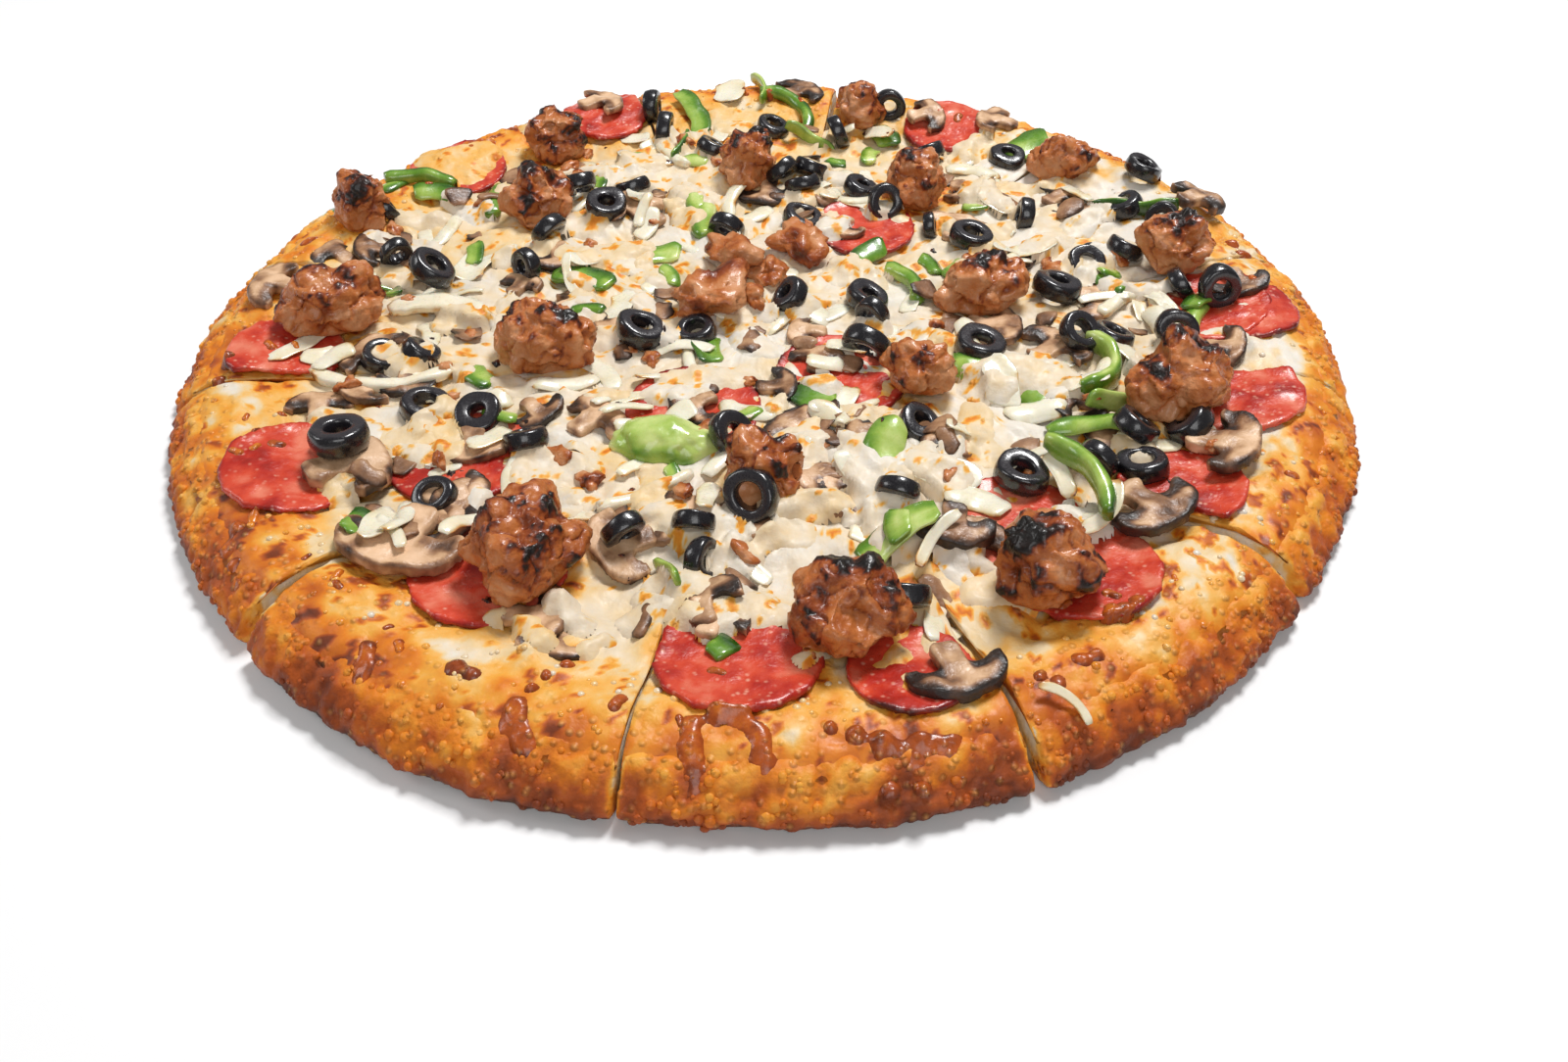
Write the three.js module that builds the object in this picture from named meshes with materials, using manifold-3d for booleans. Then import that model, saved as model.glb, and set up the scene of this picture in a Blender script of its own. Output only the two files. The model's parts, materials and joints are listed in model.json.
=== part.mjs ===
// A large round pizza, cut in twelve, as closed solids in millimetres: +Z is up, the base lies on z = 0
// and the cuts meet on the Z axis. The camera side is -Y.
import * as THREE from "three";
import { mergeVertices } from "three/addons/utils/BufferGeometryUtils.js";
import Module from "manifold-3d";

const wasm = await Module();
wasm.setup();

// Driving sizes of the base
const PIZZA_RADIUS = 178;
const DOUGH_FLOOR = 7.5;
const RIM_HEIGHT = 13.6;
const RIM_CREST_RADIUS = 157;
const RIM_FOOT_RADIUS = 132;
const CHEESE_THICKNESS = 2.7;
const CHEESE_EDGE_RADIUS = 171;
const CHEESE_RELIEF = 2.6;
const AROUND = 52;
const GAP = 0.3;
const SINK = 1.3;

// Each straight cut from rim to rim: the angle of its end, in degrees from +X, and how far it gapes there.
const CUTS = [
  { angle: 10.5, opening: 0.9 },
  { angle: 44, opening: 1.2 },
  { angle: 78.5, opening: 2.2 },
  { angle: 107, opening: 1.4 },
  { angle: 137, opening: 1.2 },
  { angle: 167.5, opening: 1.8 },
  { angle: 190, opening: 1.2 },
  { angle: 223.7, opening: 3.6 },
  { angle: 259, opening: 0.5 },
  { angle: 289.7, opening: 2.0 },
  { angle: 319.8, opening: 4.6 },
  { angle: 347.5, opening: 0.7 },
];
const KNIFE_WIDTH = 0.6;
const RESEALED_RADIUS = 126;

// Heights at which a topping lies: on the cheese, on a pepperoni, and on what lies on a pepperoni.
const PEPPERONI_THICKNESS = 1.8;
const MUSHROOM_THICKNESS = 3.8;
const LEVELS = [
  GAP,
  PEPPERONI_THICKNESS + 5 * GAP,
  PEPPERONI_THICKNESS + MUSHROOM_THICKNESS + 6 * GAP,
];

const COLOURS = {
  dough: 0xd9852f,
  cheese: 0xf3e2b8,
  sausage: 0x7a3a22,
  pepperoni: 0xb92a22,
  mushroom: 0xb08a64,
  olive: 0x17161a,
  pepper: 0x5f9a2c,
  onion: 0xe9dcc0,
};

// Chunks of sausage: centre, then width, depth and height, turn about Z, and level.
const SAUSAGES = [
  { at: [-76, 116], size: [25, 22, 19], turn: 20, level: 0 },
  { at: [-77, 70], size: [26, 23, 20], turn: 70, level: 0 },
  { at: [-137, 64], size: [22, 20, 20], turn: 110, level: 0 },
  { at: [-133, 2], size: [33, 22, 18], turn: 35, level: 1 },
  { at: [-65, -15], size: [31, 24, 20], turn: -10, level: 0 },
  { at: [-59, -108], size: [31, 27, 21], turn: 65, level: 1 },
  { at: [19, -130], size: [27, 23, 19], turn: 5, level: 1 },
  { at: [68, -117], size: [27, 25, 21], turn: 0, level: 1 },
  { at: [119, -45], size: [32, 24, 21], turn: 25, level: 1 },
  { at: [46, -34], size: [22, 19, 14], turn: -20, level: 1 },
  { at: [70, 11], size: [29, 21, 17], turn: 15, level: 0 },
  { at: [136, 29], size: [27, 21, 18], turn: 20, level: 1 },
  { at: [56, 77], size: [23, 22, 20], turn: 100, level: 0 },
  { at: [112, 93], size: [25, 18, 15], turn: 0, level: 0 },
  { at: [41, 138], size: [21, 18, 16], turn: 60, level: 0 },
  { at: [-4, 96], size: [24, 22, 20], turn: 60, level: 0 },
  { at: [0, -76], size: [24, 20, 18], turn: -15, level: 0 },
];

// Pepperoni slices: centre and radius. The knife went through two of them.
const PEPPERONI = [
  { at: [-127, -68], radius: 21 },
  { at: [-69, -107], radius: 20.5 },
  { at: [-7, -137], radius: 21 },
  { at: [79, -110], radius: 20.5 },
  { at: [111, -82], radius: 18 },
  { at: [137, -42], radius: 19 },
  { at: [141, 3], radius: 19 },
  { at: [-144, -14], radius: 18 },
  { at: [-60, 143], radius: 18 },
  { at: [73, 128], radius: 17 },
];

// Mushroom slices: centre, cap width, direction of the cap's dome, and level.
const MUSHROOMS = [
  { at: [-113, -68], width: 31, turn: 40, level: 1 },
  { at: [-92, -100], width: 34, turn: -105, level: 1 },
  { at: [-155, 17], width: 23, turn: 170, level: 0 },
  { at: [126, -68], width: 27, turn: -25, level: 1 },
  { at: [100, -92], width: 27, turn: -55, level: 1 },
  { at: [48, -98], width: 22, turn: -100, level: 1 },
  { at: [43, -146], width: 24, turn: -75, level: 0 },
  { at: [30, -58], width: 22, turn: 190, level: 0 },
  { at: [151, 60], width: 22, turn: 30, level: 0 },
];

// Olive rings: centre, outer diameter, tilt away from lying flat, turn of that tilt, and level.
const OLIVES = [
  { at: [-115, -64], size: 16.5, tilt: 8, turn: 200, level: 2 },
  { at: [69, -76], size: 15, tilt: 6, turn: 80, level: 0 },
  { at: [66, -18], size: 16, tilt: 10, turn: 90, level: 0 },
  { at: [-37, -7], size: 15.5, tilt: 20, turn: 90, level: 0 },
  { at: [95, 14], size: 15.5, tilt: 14, turn: 120, level: 0 },
  { at: [72, 46], size: 15, tilt: 8, turn: 90, level: 0 },
  { at: [-54, 70], size: 15.5, tilt: 14, turn: 60, level: 0 },
  { at: [-107, 27], size: 15.5, tilt: 38, turn: 95, level: 0 },
];

// Strips of green pepper and of onion: centre of the strip, radius of its bend, width, height, sweep,
// direction in which it bulges, and level.
const PEPPERS = [
  { at: [104, -31], bend: 13, width: 4, height: 8, sweep: 150, turn: -15, level: 0 },
  { at: [85, -84], bend: 30, width: 4.5, height: 7, sweep: 62, turn: 20, level: 2 },
];
const ONIONS = [
  { at: [-101, 12], bend: 21, width: 8, height: 4, sweep: 95, turn: 80, level: 0 },
];

// Smaller pieces that are fused to the cheese, with the same fields.
const FUSED_OLIVES = [
  { at: [-97, -41], size: 15, tilt: 12, turn: 90 },
  { at: [44, -53], size: 13, tilt: 24, turn: 60 },
  { at: [107, -13], size: 13.5, tilt: 22, turn: 130 },
  { at: [34, 10], size: 14, tilt: 20, turn: 90 },
  { at: [112, 34], size: 13, tilt: 10, turn: 90 },
  { at: [93, 104], size: 14, tilt: 12, turn: 90 },
  { at: [6, 132], size: 14, tilt: 20, turn: 100 },
  { at: [-17, 113], size: 12.5, tilt: 34, turn: 120 },
  { at: [138, 83], size: 14, tilt: 16, turn: 90 },
  { at: [37, 82], size: 13, tilt: 22, turn: 90 },
  { at: [15, 61], size: 15, tilt: 16, turn: 90 },
  { at: [-66, -58], size: 13, tilt: 34, turn: 200 },
  { at: [-115, -17], size: 13, tilt: 20, turn: 90 },
];
const FUSED_MUSHROOMS = [
  { at: [17, -20], width: 19, turn: 80 },
  { at: [-129, -38], width: 20, turn: 100 },
  { at: [17, 158], width: 24, turn: 40 },
  { at: [112, 63], width: 20, turn: 60 },
  { at: [-47, -132], width: 17, turn: -80 },
  { at: [-143, 42], width: 20, turn: 150 },
];
const FUSED_PEPPERS = [
  { at: [132, -8], bend: 42, width: 6, height: 6, sweep: 42, turn: 160 },
  { at: [17, 146], bend: 20, width: 5, height: 5, sweep: 110, turn: 30 },
  { at: [-20, 64], bend: 30, width: 8, height: 4, sweep: 42, turn: 180 },
  { at: [50, 22], bend: 14, width: 5, height: 5, sweep: 100, turn: 20 },
  { at: [-58, 28], bend: 34, width: 9, height: 4, sweep: 36, turn: 70 },
  { at: [-13, -114], bend: 16, width: 6, height: 5, sweep: 80, turn: 80 },
  { at: [-96, 80], bend: 30, width: 7, height: 4, sweep: 40, turn: 180 },
  { at: [-123, 92], bend: 26, width: 5, height: 5, sweep: 58, turn: 90 },
];
const FUSED_ONIONS = [
  { at: [-114, -29], bend: 32, width: 4.5, height: 4, sweep: 82, turn: 270 },
  { at: [-31, -79], bend: 70, width: 4, height: 4, sweep: 23, turn: 300 },
  { at: [-34, 114], bend: 34, width: 5, height: 4, sweep: 42, turn: 210 },
  { at: [114, 9], bend: 60, width: 4.5, height: 4, sweep: 20, turn: 130 },
];
// The green pepper that bulges like a shell, and blisters of browned cheese on the rim: centre, size, turn.
const PEPPER_SHELL = { at: [-28, -57], size: [33, 17, 9], turn: -8 };
const BLISTERS = [
  { at: [-93, -136], size: [6, 11, 3], turn: 5 },
  { at: [-55, -150], size: [7, 19, 3.4], turn: 20 },
  { at: [-134, -97], size: [6, 13, 3], turn: 25 },
  { at: [-122, -111], size: [4.5, 11, 2.6], turn: 35 },
  { at: [-13, -159], size: [9, 15, 3.4], turn: -10 },
  { at: [31, -160], size: [15, 9, 3.4], turn: -15 },
];

const radians = THREE.MathUtils.degToRad;
const smoothstep = THREE.MathUtils.smoothstep;

// A smooth, repeatable wave in -1..1 that stands in for the unevenness of hand-made food.
function ripple(u, v, w = 0) {
  return (
    (Math.sin(1.3 * u + 2.1 * v + 0.7 * w) +
      Math.sin(-2.3 * u + 1.1 * v + 1.9 * w + 1.7) +
      Math.sin(0.9 * u - 1.7 * v + 2.7 * w + 4.1)) /
    3
  );
}

function solidOf(geometry) {
  geometry.deleteAttribute("normal");
  geometry.deleteAttribute("uv");
  const merged = mergeVertices(geometry, 1e-3);
  return new wasm.Manifold(
    new wasm.Mesh({
      numProp: 3,
      vertProperties: new Float32Array(merged.attributes.position.array),
      triVerts: new Uint32Array(merged.index.array),
    }),
  );
}

function geometryOf(solid) {
  const mesh = solid.getMesh();
  const geometry = new THREE.BufferGeometry();
  geometry.setAttribute("position", new THREE.BufferAttribute(mesh.vertProperties, 3));
  geometry.setIndex(new THREE.BufferAttribute(mesh.triVerts, 1));
  geometry.computeVertexNormals();
  return geometry;
}

// Moves every vertex of a geometry by a rule that is given the vertex and changes it.
function shape(geometry, rule) {
  const places = geometry.attributes.position;
  const point = new THREE.Vector3();
  for (let i = 0; i < places.count; i++) {
    point.fromBufferAttribute(places, i);
    rule(point, i);
    places.setXYZ(i, point.x, point.y, point.z);
  }
  return geometry;
}

// The rim swells and sinks a little along its length.
function rimWave(point) {
  const radius = Math.hypot(point.x, point.y);
  const share = smoothstep(radius, RIM_FOOT_RADIUS - 8, RIM_CREST_RADIUS);
  if (share === 0) return;
  const turn = Math.atan2(point.y, point.x);
  const c = Math.cos(turn);
  const s = Math.sin(turn);
  const swell = 1 + (share * (1.6 * ripple(4 * c, 4 * s) + 0.7 * ripple(13 * c, 13 * s, 2))) / radius;
  point.x *= swell;
  point.y *= swell;
  if (point.z > 1) point.z += share * (1.1 * ripple(3 * c, 3 * s, 5) + 0.5 * ripple(11 * c, 11 * s, 3));
}

// Turns a profile of [radius, height] pairs about Z.
function turned(profile, around) {
  const points = profile.map(([radius, height]) => new THREE.Vector2(radius, height));
  return new THREE.LatheGeometry(points, around).rotateX(Math.PI / 2);
}

// Radius and height along the dough's upper side, from the middle out to the cheese's edge, and down its side.
const DOUGH_TOP = [
  [RIM_FOOT_RADIUS, DOUGH_FLOOR],
  [142, DOUGH_FLOOR + 1.6],
  [150, RIM_HEIGHT - 1.7],
  [RIM_CREST_RADIUS, RIM_HEIGHT],
  [165, RIM_HEIGHT - 0.6],
  [CHEESE_EDGE_RADIUS, RIM_HEIGHT - 2.6],
];
const DOUGH_SIDE = [
  [PIZZA_RADIUS - 2.2, RIM_HEIGHT - 6],
  [PIZZA_RADIUS, 4.2],
  [PIZZA_RADIUS - 1.8, 1],
  [PIZZA_RADIUS - 6, 0],
];

function wholeDough() {
  const profile = [
    [0, 0],
    ...DOUGH_SIDE.toReversed(),
    ...DOUGH_TOP.toReversed(),
    [0, DOUGH_FLOOR],
  ];
  return solidOf(shape(turned(profile, AROUND), rimWave));
}

// A tall wedge with its point near the axis, between two cuts.
function wedge(from, to) {
  const side = (cut, sign) => {
    const angle = radians(cut.angle) + (sign * cut.opening) / 2 / PIZZA_RADIUS;
    return { along: new THREE.Vector2(Math.cos(angle), Math.sin(angle)), sign };
  };
  const first = side(from, 1);
  const last = side(to, -1);
  const middle = first.along.clone().add(last.along).normalize();
  const half = Math.acos(first.along.dot(middle));
  const tip = middle.clone().multiplyScalar(KNIFE_WIDTH / 2 / Math.sin(half));
  const reach = 2 * PIZZA_RADIUS;
  const outline = [
    tip,
    tip.clone().addScaledVector(first.along, reach),
    tip.clone().addScaledVector(last.along, reach),
  ];
  const prism = new THREE.ExtrudeGeometry(new THREE.Shape(outline), { depth: 60, bevelEnabled: false });
  return solidOf(prism.translate(0, 0, -20));
}

// Height of the cheese where nothing raises it.
function cheeseHeight(x, y) {
  const radius = Math.hypot(x, y);
  let height = DOUGH_FLOOR;
  for (let i = 1; i < DOUGH_TOP.length; i++) {
    const [r0, z0] = DOUGH_TOP[i - 1];
    const [r1, z1] = DOUGH_TOP[i];
    if (radius > r0) height = z0 + ((z1 - z0) * Math.min(radius - r0, r1 - r0)) / (r1 - r0);
  }
  const onRim = 0.45 * smoothstep(radius, RIM_FOOT_RADIUS, RIM_CREST_RADIUS);
  const atEdge = 0.3 * smoothstep(radius, RIM_CREST_RADIUS, CHEESE_EDGE_RADIUS);
  return height + GAP + CHEESE_THICKNESS * (1 - onRim - atEdge);
}

// Slope of the cheese along the radius, in radians, for what lies on the rim.
function cheeseSlope(x, y) {
  const radius = Math.hypot(x, y);
  const step = 6;
  const k = (radius + step) / radius;
  const j = (radius - step) / radius;
  return Math.atan2(cheeseHeight(x * k, y * k) - cheeseHeight(x * j, y * j), 2 * step);
}

function clearOfToppings(x, y) {
  let least = Infinity;
  for (const { at, reach } of footprints) {
    least = Math.min(least, Math.hypot(x - at[0], y - at[1]) - reach);
  }
  return smoothstep(least, 7, 16);
}

// The layer of cheese, with or without the relief of its upper side.
function cheeseSheet(relief = CHEESE_RELIEF) {
  const under = DOUGH_TOP.map(([r, z]) => [r, z + GAP]);
  const stations = [CHEESE_EDGE_RADIUS - 0.4, 165, RIM_CREST_RADIUS, 150, RIM_FOOT_RADIUS, 114, 94, 72, 46];
  const over = stations.map((r) => [
    r,
    cheeseHeight(r, 0),
  ]);
  const profile = [[0, DOUGH_FLOOR + GAP], ...under, ...over, [0, cheeseHeight(0, 0)]];
  const firstOver = 1 + under.length;
  const sheet = turned(profile, AROUND);
  shape(sheet, (point, i) => {
    const station = i % profile.length;
    if (station >= firstOver) {
      const lumps = 0.5 + 0.5 * ripple(point.x / 6, point.y / 6) + 0.25 * ripple(point.x / 2.5, point.y / 2.5);
      point.z += relief * Math.max(0, lumps) * clearOfToppings(point.x, point.y);
    }
    rimWave(point);
  });
  return solidOf(sheet);
}

// The open end of a cut in the cheese, past where the cheese has run back together.
function slot({ angle, opening }) {
  const reach = 1.1 * PIZZA_RADIUS;
  const near = (KNIFE_WIDTH + (opening * RESEALED_RADIUS) / PIZZA_RADIUS) / 2;
  const far = (KNIFE_WIDTH + opening * 1.1) / 2;
  const outline = new THREE.Shape([
    new THREE.Vector2(RESEALED_RADIUS, -near),
    new THREE.Vector2(reach, -far),
    new THREE.Vector2(reach, far),
    new THREE.Vector2(RESEALED_RADIUS, near),
  ]);
  const prism = new THREE.ExtrudeGeometry(outline, { depth: 60, bevelEnabled: false });
  return solidOf(prism.translate(0, 0, -20).rotateZ(radians(angle)));
}

// Brings a finished shape, made round the origin, to its place, tilted as the cheese is there.
function settle(geometry, { at, turn = 0, level = 0 }, sink = 0) {
  const slope = cheeseSlope(...at);
  const outward = Math.atan2(at[1], at[0]);
  geometry.rotateZ(radians(turn) - outward).rotateY(-slope).rotateZ(outward);
  geometry.computeBoundingBox();
  const { min, max } = geometry.boundingBox;
  const reach = Math.hypot((max.x - min.x) * Math.cos(outward), (max.y - min.y) * Math.sin(outward)) / 2;
  const base = cheeseHeight(...at) - 0.7 * Math.sin(slope) * reach - sink;
  return geometry.translate(at[0], at[1], base + LEVELS[level] - min.z);
}

function sausage(piece, seed) {
  const [width, depth, height] = piece.size;
  const ball = new THREE.SphereGeometry(1, 11, 8).rotateX(Math.PI / 2);
  shape(ball, (point) => {
    const lump = 0.16 * ripple(2.3 * point.x + seed, 2.3 * point.y, 2.3 * point.z + 2 * seed);
    const crag = 0.07 * ripple(6 * point.x, 6 * point.y + seed, 6 * point.z);
    point.multiplyScalar(1 + lump + crag);
    point.z = Math.max(point.z, -0.6);
    point.set((point.x * width) / 2, (point.y * depth) / 2, (point.z * height) / 1.6);
  });
  return ball;
}

// A thin disc that bends with the cheese under it and cups a little at its edge.
function pepperoni({ at, radius }) {
  const disc = turned(
    [
      [0, 0],
      [radius / 2, 0],
      [radius, 0],
      [radius - 0.8, PEPPERONI_THICKNESS],
      [radius / 2, PEPPERONI_THICKNESS],
      [0, PEPPERONI_THICKNESS],
    ],
    13,
  );
  return shape(disc, (point) => {
    point.x += at[0];
    point.y += at[1];
    const before = point.z;
    point.z = 0.001;
    rimWave(point);
    point.z += before + cheeseHeight(point.x, point.y) + 2 * GAP;
  });
}

// Cap and stem of a slice: the dome towards +Y, its curled rims, and the stem towards -Y.
function mushroomOutline(width) {
  const outline = new THREE.Shape();
  const to = (x, y) => [x * width, y * width];
  outline.moveTo(...to(-0.13, -0.08));
  outline.quadraticCurveTo(...to(-0.28, 0.0), ...to(-0.36, -0.12));
  outline.quadraticCurveTo(...to(-0.5, -0.18), ...to(-0.5, 0.02));
  outline.bezierCurveTo(...to(-0.46, 0.42), ...to(0.46, 0.42), ...to(0.5, 0.02));
  outline.quadraticCurveTo(...to(0.5, -0.18), ...to(0.36, -0.12));
  outline.quadraticCurveTo(...to(0.28, 0.0), ...to(0.13, -0.08));
  outline.lineTo(...to(0.16, -0.32));
  outline.quadraticCurveTo(...to(0, -0.46), ...to(-0.16, -0.32));
  outline.closePath();
  return outline;
}

// A slice through cap and stem; the dome of the cap points along +X before it is turned.
function mushroom({ width }, curveSegments = 3, thickness = MUSHROOM_THICKNESS) {
  const slice = new THREE.ExtrudeGeometry(mushroomOutline(width), {
    depth: thickness,
    bevelEnabled: false,
    curveSegments,
  });
  return slice.rotateZ(-Math.PI / 2);
}

function olive({ size, tilt }, around = 12) {
  const outer = size / 2;
  const inner = 0.46 * outer;
  const half = 0.19 * size;
  const ring = turned(
    [
      [inner, -half],
      [outer, -half],
      [0.93 * outer, half],
      [inner, half],
      [inner, -half],
    ],
    around,
  );
  return ring.rotateX(radians(tilt));
}

// A strip cut from a hollow vegetable: part of a ring that stands on its edge.
function strip({ bend, width, height, sweep }, curveSegments = 7) {
  const half = radians(sweep) / 2;
  const outline = new THREE.Shape();
  outline.absarc(0, 0, bend + width / 2, -half, half, false);
  outline.absarc(0, 0, bend - width / 2, half, -half, true);
  outline.closePath();
  const body = new THREE.ExtrudeGeometry(outline, { depth: height, bevelEnabled: false, curveSegments });
  return body.translate(-bend, 0, 0);
}

// Part of a flattened ball above z = 0, for what bulges out of the cheese.
function mound([width, depth, height], around) {
  const ball = new THREE.SphereGeometry(1, around, 4);
  ball.rotateX(Math.PI / 2);
  return shape(ball, (point) => {
    point.z = Math.max(point.z, -0.15);
    point.set((point.x * width) / 2, (point.y * depth) / 2, point.z * height);
  });
}

// The plan reach of each loose topping, inside which the cheese keeps level under it.
const footprints = [
  ...SAUSAGES.map(({ at, size }) => ({ at, reach: Math.max(size[0], size[1]) / 2 })),
  ...PEPPERONI.map(({ at, radius }) => ({ at, reach: radius })),
  ...MUSHROOMS.map(({ at, width }) => ({ at, reach: width / 2 })),
  ...OLIVES.map(({ at, size }) => ({ at, reach: size / 2 })),
  ...[...PEPPERS, ...ONIONS].map(({ at, bend, sweep }) => ({ at, reach: bend * Math.sin(radians(sweep) / 2) })),
];

const pizza = new THREE.Group();
pizza.name = "pizza";

function addNode(kind, number, solid) {
  const material = new THREE.MeshStandardMaterial({ color: COLOURS[kind], roughness: 0.55, metalness: 0 });
  const mesh = new THREE.Mesh(geometryOf(solid), material);
  mesh.name = number === null ? kind : `${kind}_${String(number).padStart(2, "0")}`;
  pizza.add(mesh);
}

function biggest(solid) {
  return solid.decompose().reduce((best, part) => (part.volume() > best.volume() ? part : best));
}

// A solid made larger about its middle by the gap that its neighbours keep.
function grown(solid) {
  const { min, max } = solid.boundingBox();
  const middle = min.map((low, axis) => (low + max[axis]) / 2);
  const factors = min.map((low, axis) => (max[axis] - low + 2 * GAP) / (max[axis] - low));
  return solid
    .translate(middle.map((value) => -value))
    .scale(factors)
    .translate(middle);
}

function boxesMeet(one, other) {
  const a = one.boundingBox();
  const b = other.boundingBox();
  return a.min.every((low, axis) => low < b.max[axis] && b.min[axis] < a.max[axis]);
}

function trimmed(solid, cutters) {
  const near = cutters.filter((cutter) => boxesMeet(solid, cutter));
  const left = near.reduce((rest, cutter) => rest.subtract(cutter), solid);
  return left.isEmpty() ? left : biggest(left);
}

// The knife's path at a cut, as one thin plate, for slices of topping that it went through.
function blade({ angle, opening }) {
  const length = PIZZA_RADIUS;
  const plate = new THREE.BoxGeometry(length, KNIFE_WIDTH + opening, 60).translate(length / 2, 0, 0);
  return solidOf(plate.rotateZ(radians(angle)));
}

const dough = wholeDough();
CUTS.forEach((cut, i) => {
  const next = CUTS[(i + 1) % CUTS.length];
  addNode("dough", i + 1, dough.intersect(wedge(cut, next)));
});

// Each loose topping is hollowed underneath to the shape of what it lies on.
const sheet = CUTS.map(slot).reduce((left, cut) => left.subtract(cut), cheeseSheet());
const plain = cheeseSheet(0);
const grounds = LEVELS.map((height, level) => (level === 0 ? cheeseSheet() : plain).translate(0, 0, height));
const laid = [];
const columns = PEPPERONI.map(({ at, radius }) => {
  const column = new THREE.CylinderGeometry(radius + GAP, radius + GAP, 60, 16).rotateX(Math.PI / 2);
  return solidOf(column.translate(at[0], at[1], 20));
});

function addLoose(kind, pieces, make) {
  pieces.forEach((piece, i) => {
    const solid = trimmed(solidOf(make(piece, i)), [grounds[piece.level], ...laid]);
    laid.push(grown(solid));
    addNode(kind, i + 1, solid);
  });
}

PEPPERONI.forEach((piece, i) => {
  addNode("pepperoni", i + 1, trimmed(solidOf(pepperoni(piece)), [...CUTS.map(blade), grounds[0]]));
});
addLoose("sausage", SAUSAGES, (piece, i) => settle(sausage(piece, i + 1), piece));
addLoose("mushroom", MUSHROOMS, (piece) => settle(mushroom(piece), piece));
addLoose("olive", OLIVES, (piece) => settle(olive(piece), piece));
addLoose("pepper", PEPPERS, (piece) => settle(strip(piece), piece));
addLoose("onion", ONIONS, (piece) => settle(strip(piece), piece));

const fused = [
  ...FUSED_OLIVES.map((piece) => settle(olive(piece, 7), piece, SINK)),
  ...FUSED_MUSHROOMS.map((piece) => settle(mushroom(piece, 1, 3), piece, SINK)),
  ...[...FUSED_PEPPERS, ...FUSED_ONIONS].map((piece) => settle(strip(piece, 3), piece, SINK)),
  settle(mound(PEPPER_SHELL.size, 12), PEPPER_SHELL, SINK),
  ...BLISTERS.map((piece) => settle(mound(piece.size, 6), piece, SINK)),
]
  .map(solidOf)
  .map((solid) => trimmed(solid, [dough.translate(0, 0, GAP), ...columns, ...laid]));
addNode("cheese", null, biggest(fused.reduce((sum, piece) => sum.add(piece), sheet)));

export default pizza;
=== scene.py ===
"""A large supreme pizza, cut in twelve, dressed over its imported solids.

Lengths in the tables are millimetres, and a mesh is scaled to metres when it is made. The camera side is -Y.
"""

import json
import logging
import math
from dataclasses import dataclass, field, replace
from enum import Enum
from typing import Protocol

import bmesh
import bpy
import numpy as np
from mathutils import Matrix, Vector, noise
from mathutils.bvhtree import BVHTree

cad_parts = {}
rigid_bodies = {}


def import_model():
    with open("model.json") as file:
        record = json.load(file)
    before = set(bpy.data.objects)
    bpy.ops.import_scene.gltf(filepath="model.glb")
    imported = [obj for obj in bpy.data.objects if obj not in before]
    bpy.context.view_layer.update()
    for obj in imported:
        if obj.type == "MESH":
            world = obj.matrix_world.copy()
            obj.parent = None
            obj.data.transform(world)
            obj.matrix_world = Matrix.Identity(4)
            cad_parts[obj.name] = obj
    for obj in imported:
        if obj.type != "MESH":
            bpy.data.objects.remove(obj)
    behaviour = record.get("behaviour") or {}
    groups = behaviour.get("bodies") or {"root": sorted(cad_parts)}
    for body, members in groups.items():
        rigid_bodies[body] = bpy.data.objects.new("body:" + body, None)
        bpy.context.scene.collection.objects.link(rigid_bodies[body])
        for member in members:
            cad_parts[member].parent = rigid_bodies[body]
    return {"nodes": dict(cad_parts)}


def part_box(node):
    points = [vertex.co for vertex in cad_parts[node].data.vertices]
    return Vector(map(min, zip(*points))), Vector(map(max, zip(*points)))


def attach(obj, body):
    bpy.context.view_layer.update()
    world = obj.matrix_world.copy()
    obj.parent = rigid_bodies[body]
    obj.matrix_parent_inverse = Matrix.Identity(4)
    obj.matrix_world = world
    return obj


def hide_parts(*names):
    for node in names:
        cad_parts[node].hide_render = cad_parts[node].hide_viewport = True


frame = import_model()
log = logging.getLogger("pizza")

MM = 0.001
BODY = "root"
PIZZA_RADIUS = 178.0
DOUGH_FLOOR = 7.5
RIM_HEIGHT = 13.6
RIM_CREST_RADIUS = 157.0
RIM_FOOT_RADIUS = 132.0
CHEESE_THICKNESS = 2.7
CHEESE_EDGE_RADIUS = 171.0
GAP = 0.3
PEPPERONI_THICKNESS = 1.8
MUSHROOM_THICKNESS = 3.8
FUSED_MUSHROOM_THICKNESS = 3.0
LEVELS = (GAP, PEPPERONI_THICKNESS + 5 * GAP, PEPPERONI_THICKNESS + MUSHROOM_THICKNESS + 6 * GAP)
SINK = 1.3
CUTS = (
    (10.5, 0.9), (44.0, 1.2), (78.5, 2.2), (107.0, 1.4), (137.0, 1.2), (167.5, 1.8),
    (190.0, 1.2), (223.7, 3.6), (259.0, 0.5), (289.7, 2.0), (319.8, 4.6), (347.5, 0.7),
)
KNIFE_WIDTH = 0.6
RESEALED_RADIUS = 126.0
# Where the numbers that pick patterns start, for the pieces that aren't counted from 0.
HIDDEN_DISCS, LOOSE_PIECES, SMALL_BITS, RIM_DRIPS = 20, 50, 200, 300

Points = np.ndarray
Span = tuple[float, float]
Colour = tuple[float, float, float]
Circles = tuple[tuple[float, float, float], ...]


@dataclass(frozen=True)
class Ring:
    """An olive ring or a crumb: its middle, outer diameter, tilt, turn of the tilt, and level."""

    x: float
    y: float
    size: float
    tilt: float = 0.0
    turn: float = 0.0
    level: int = 0

    @property
    def reach(self) -> float:
        """Half the room that it takes in plan."""
        return self.size / 2


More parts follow.
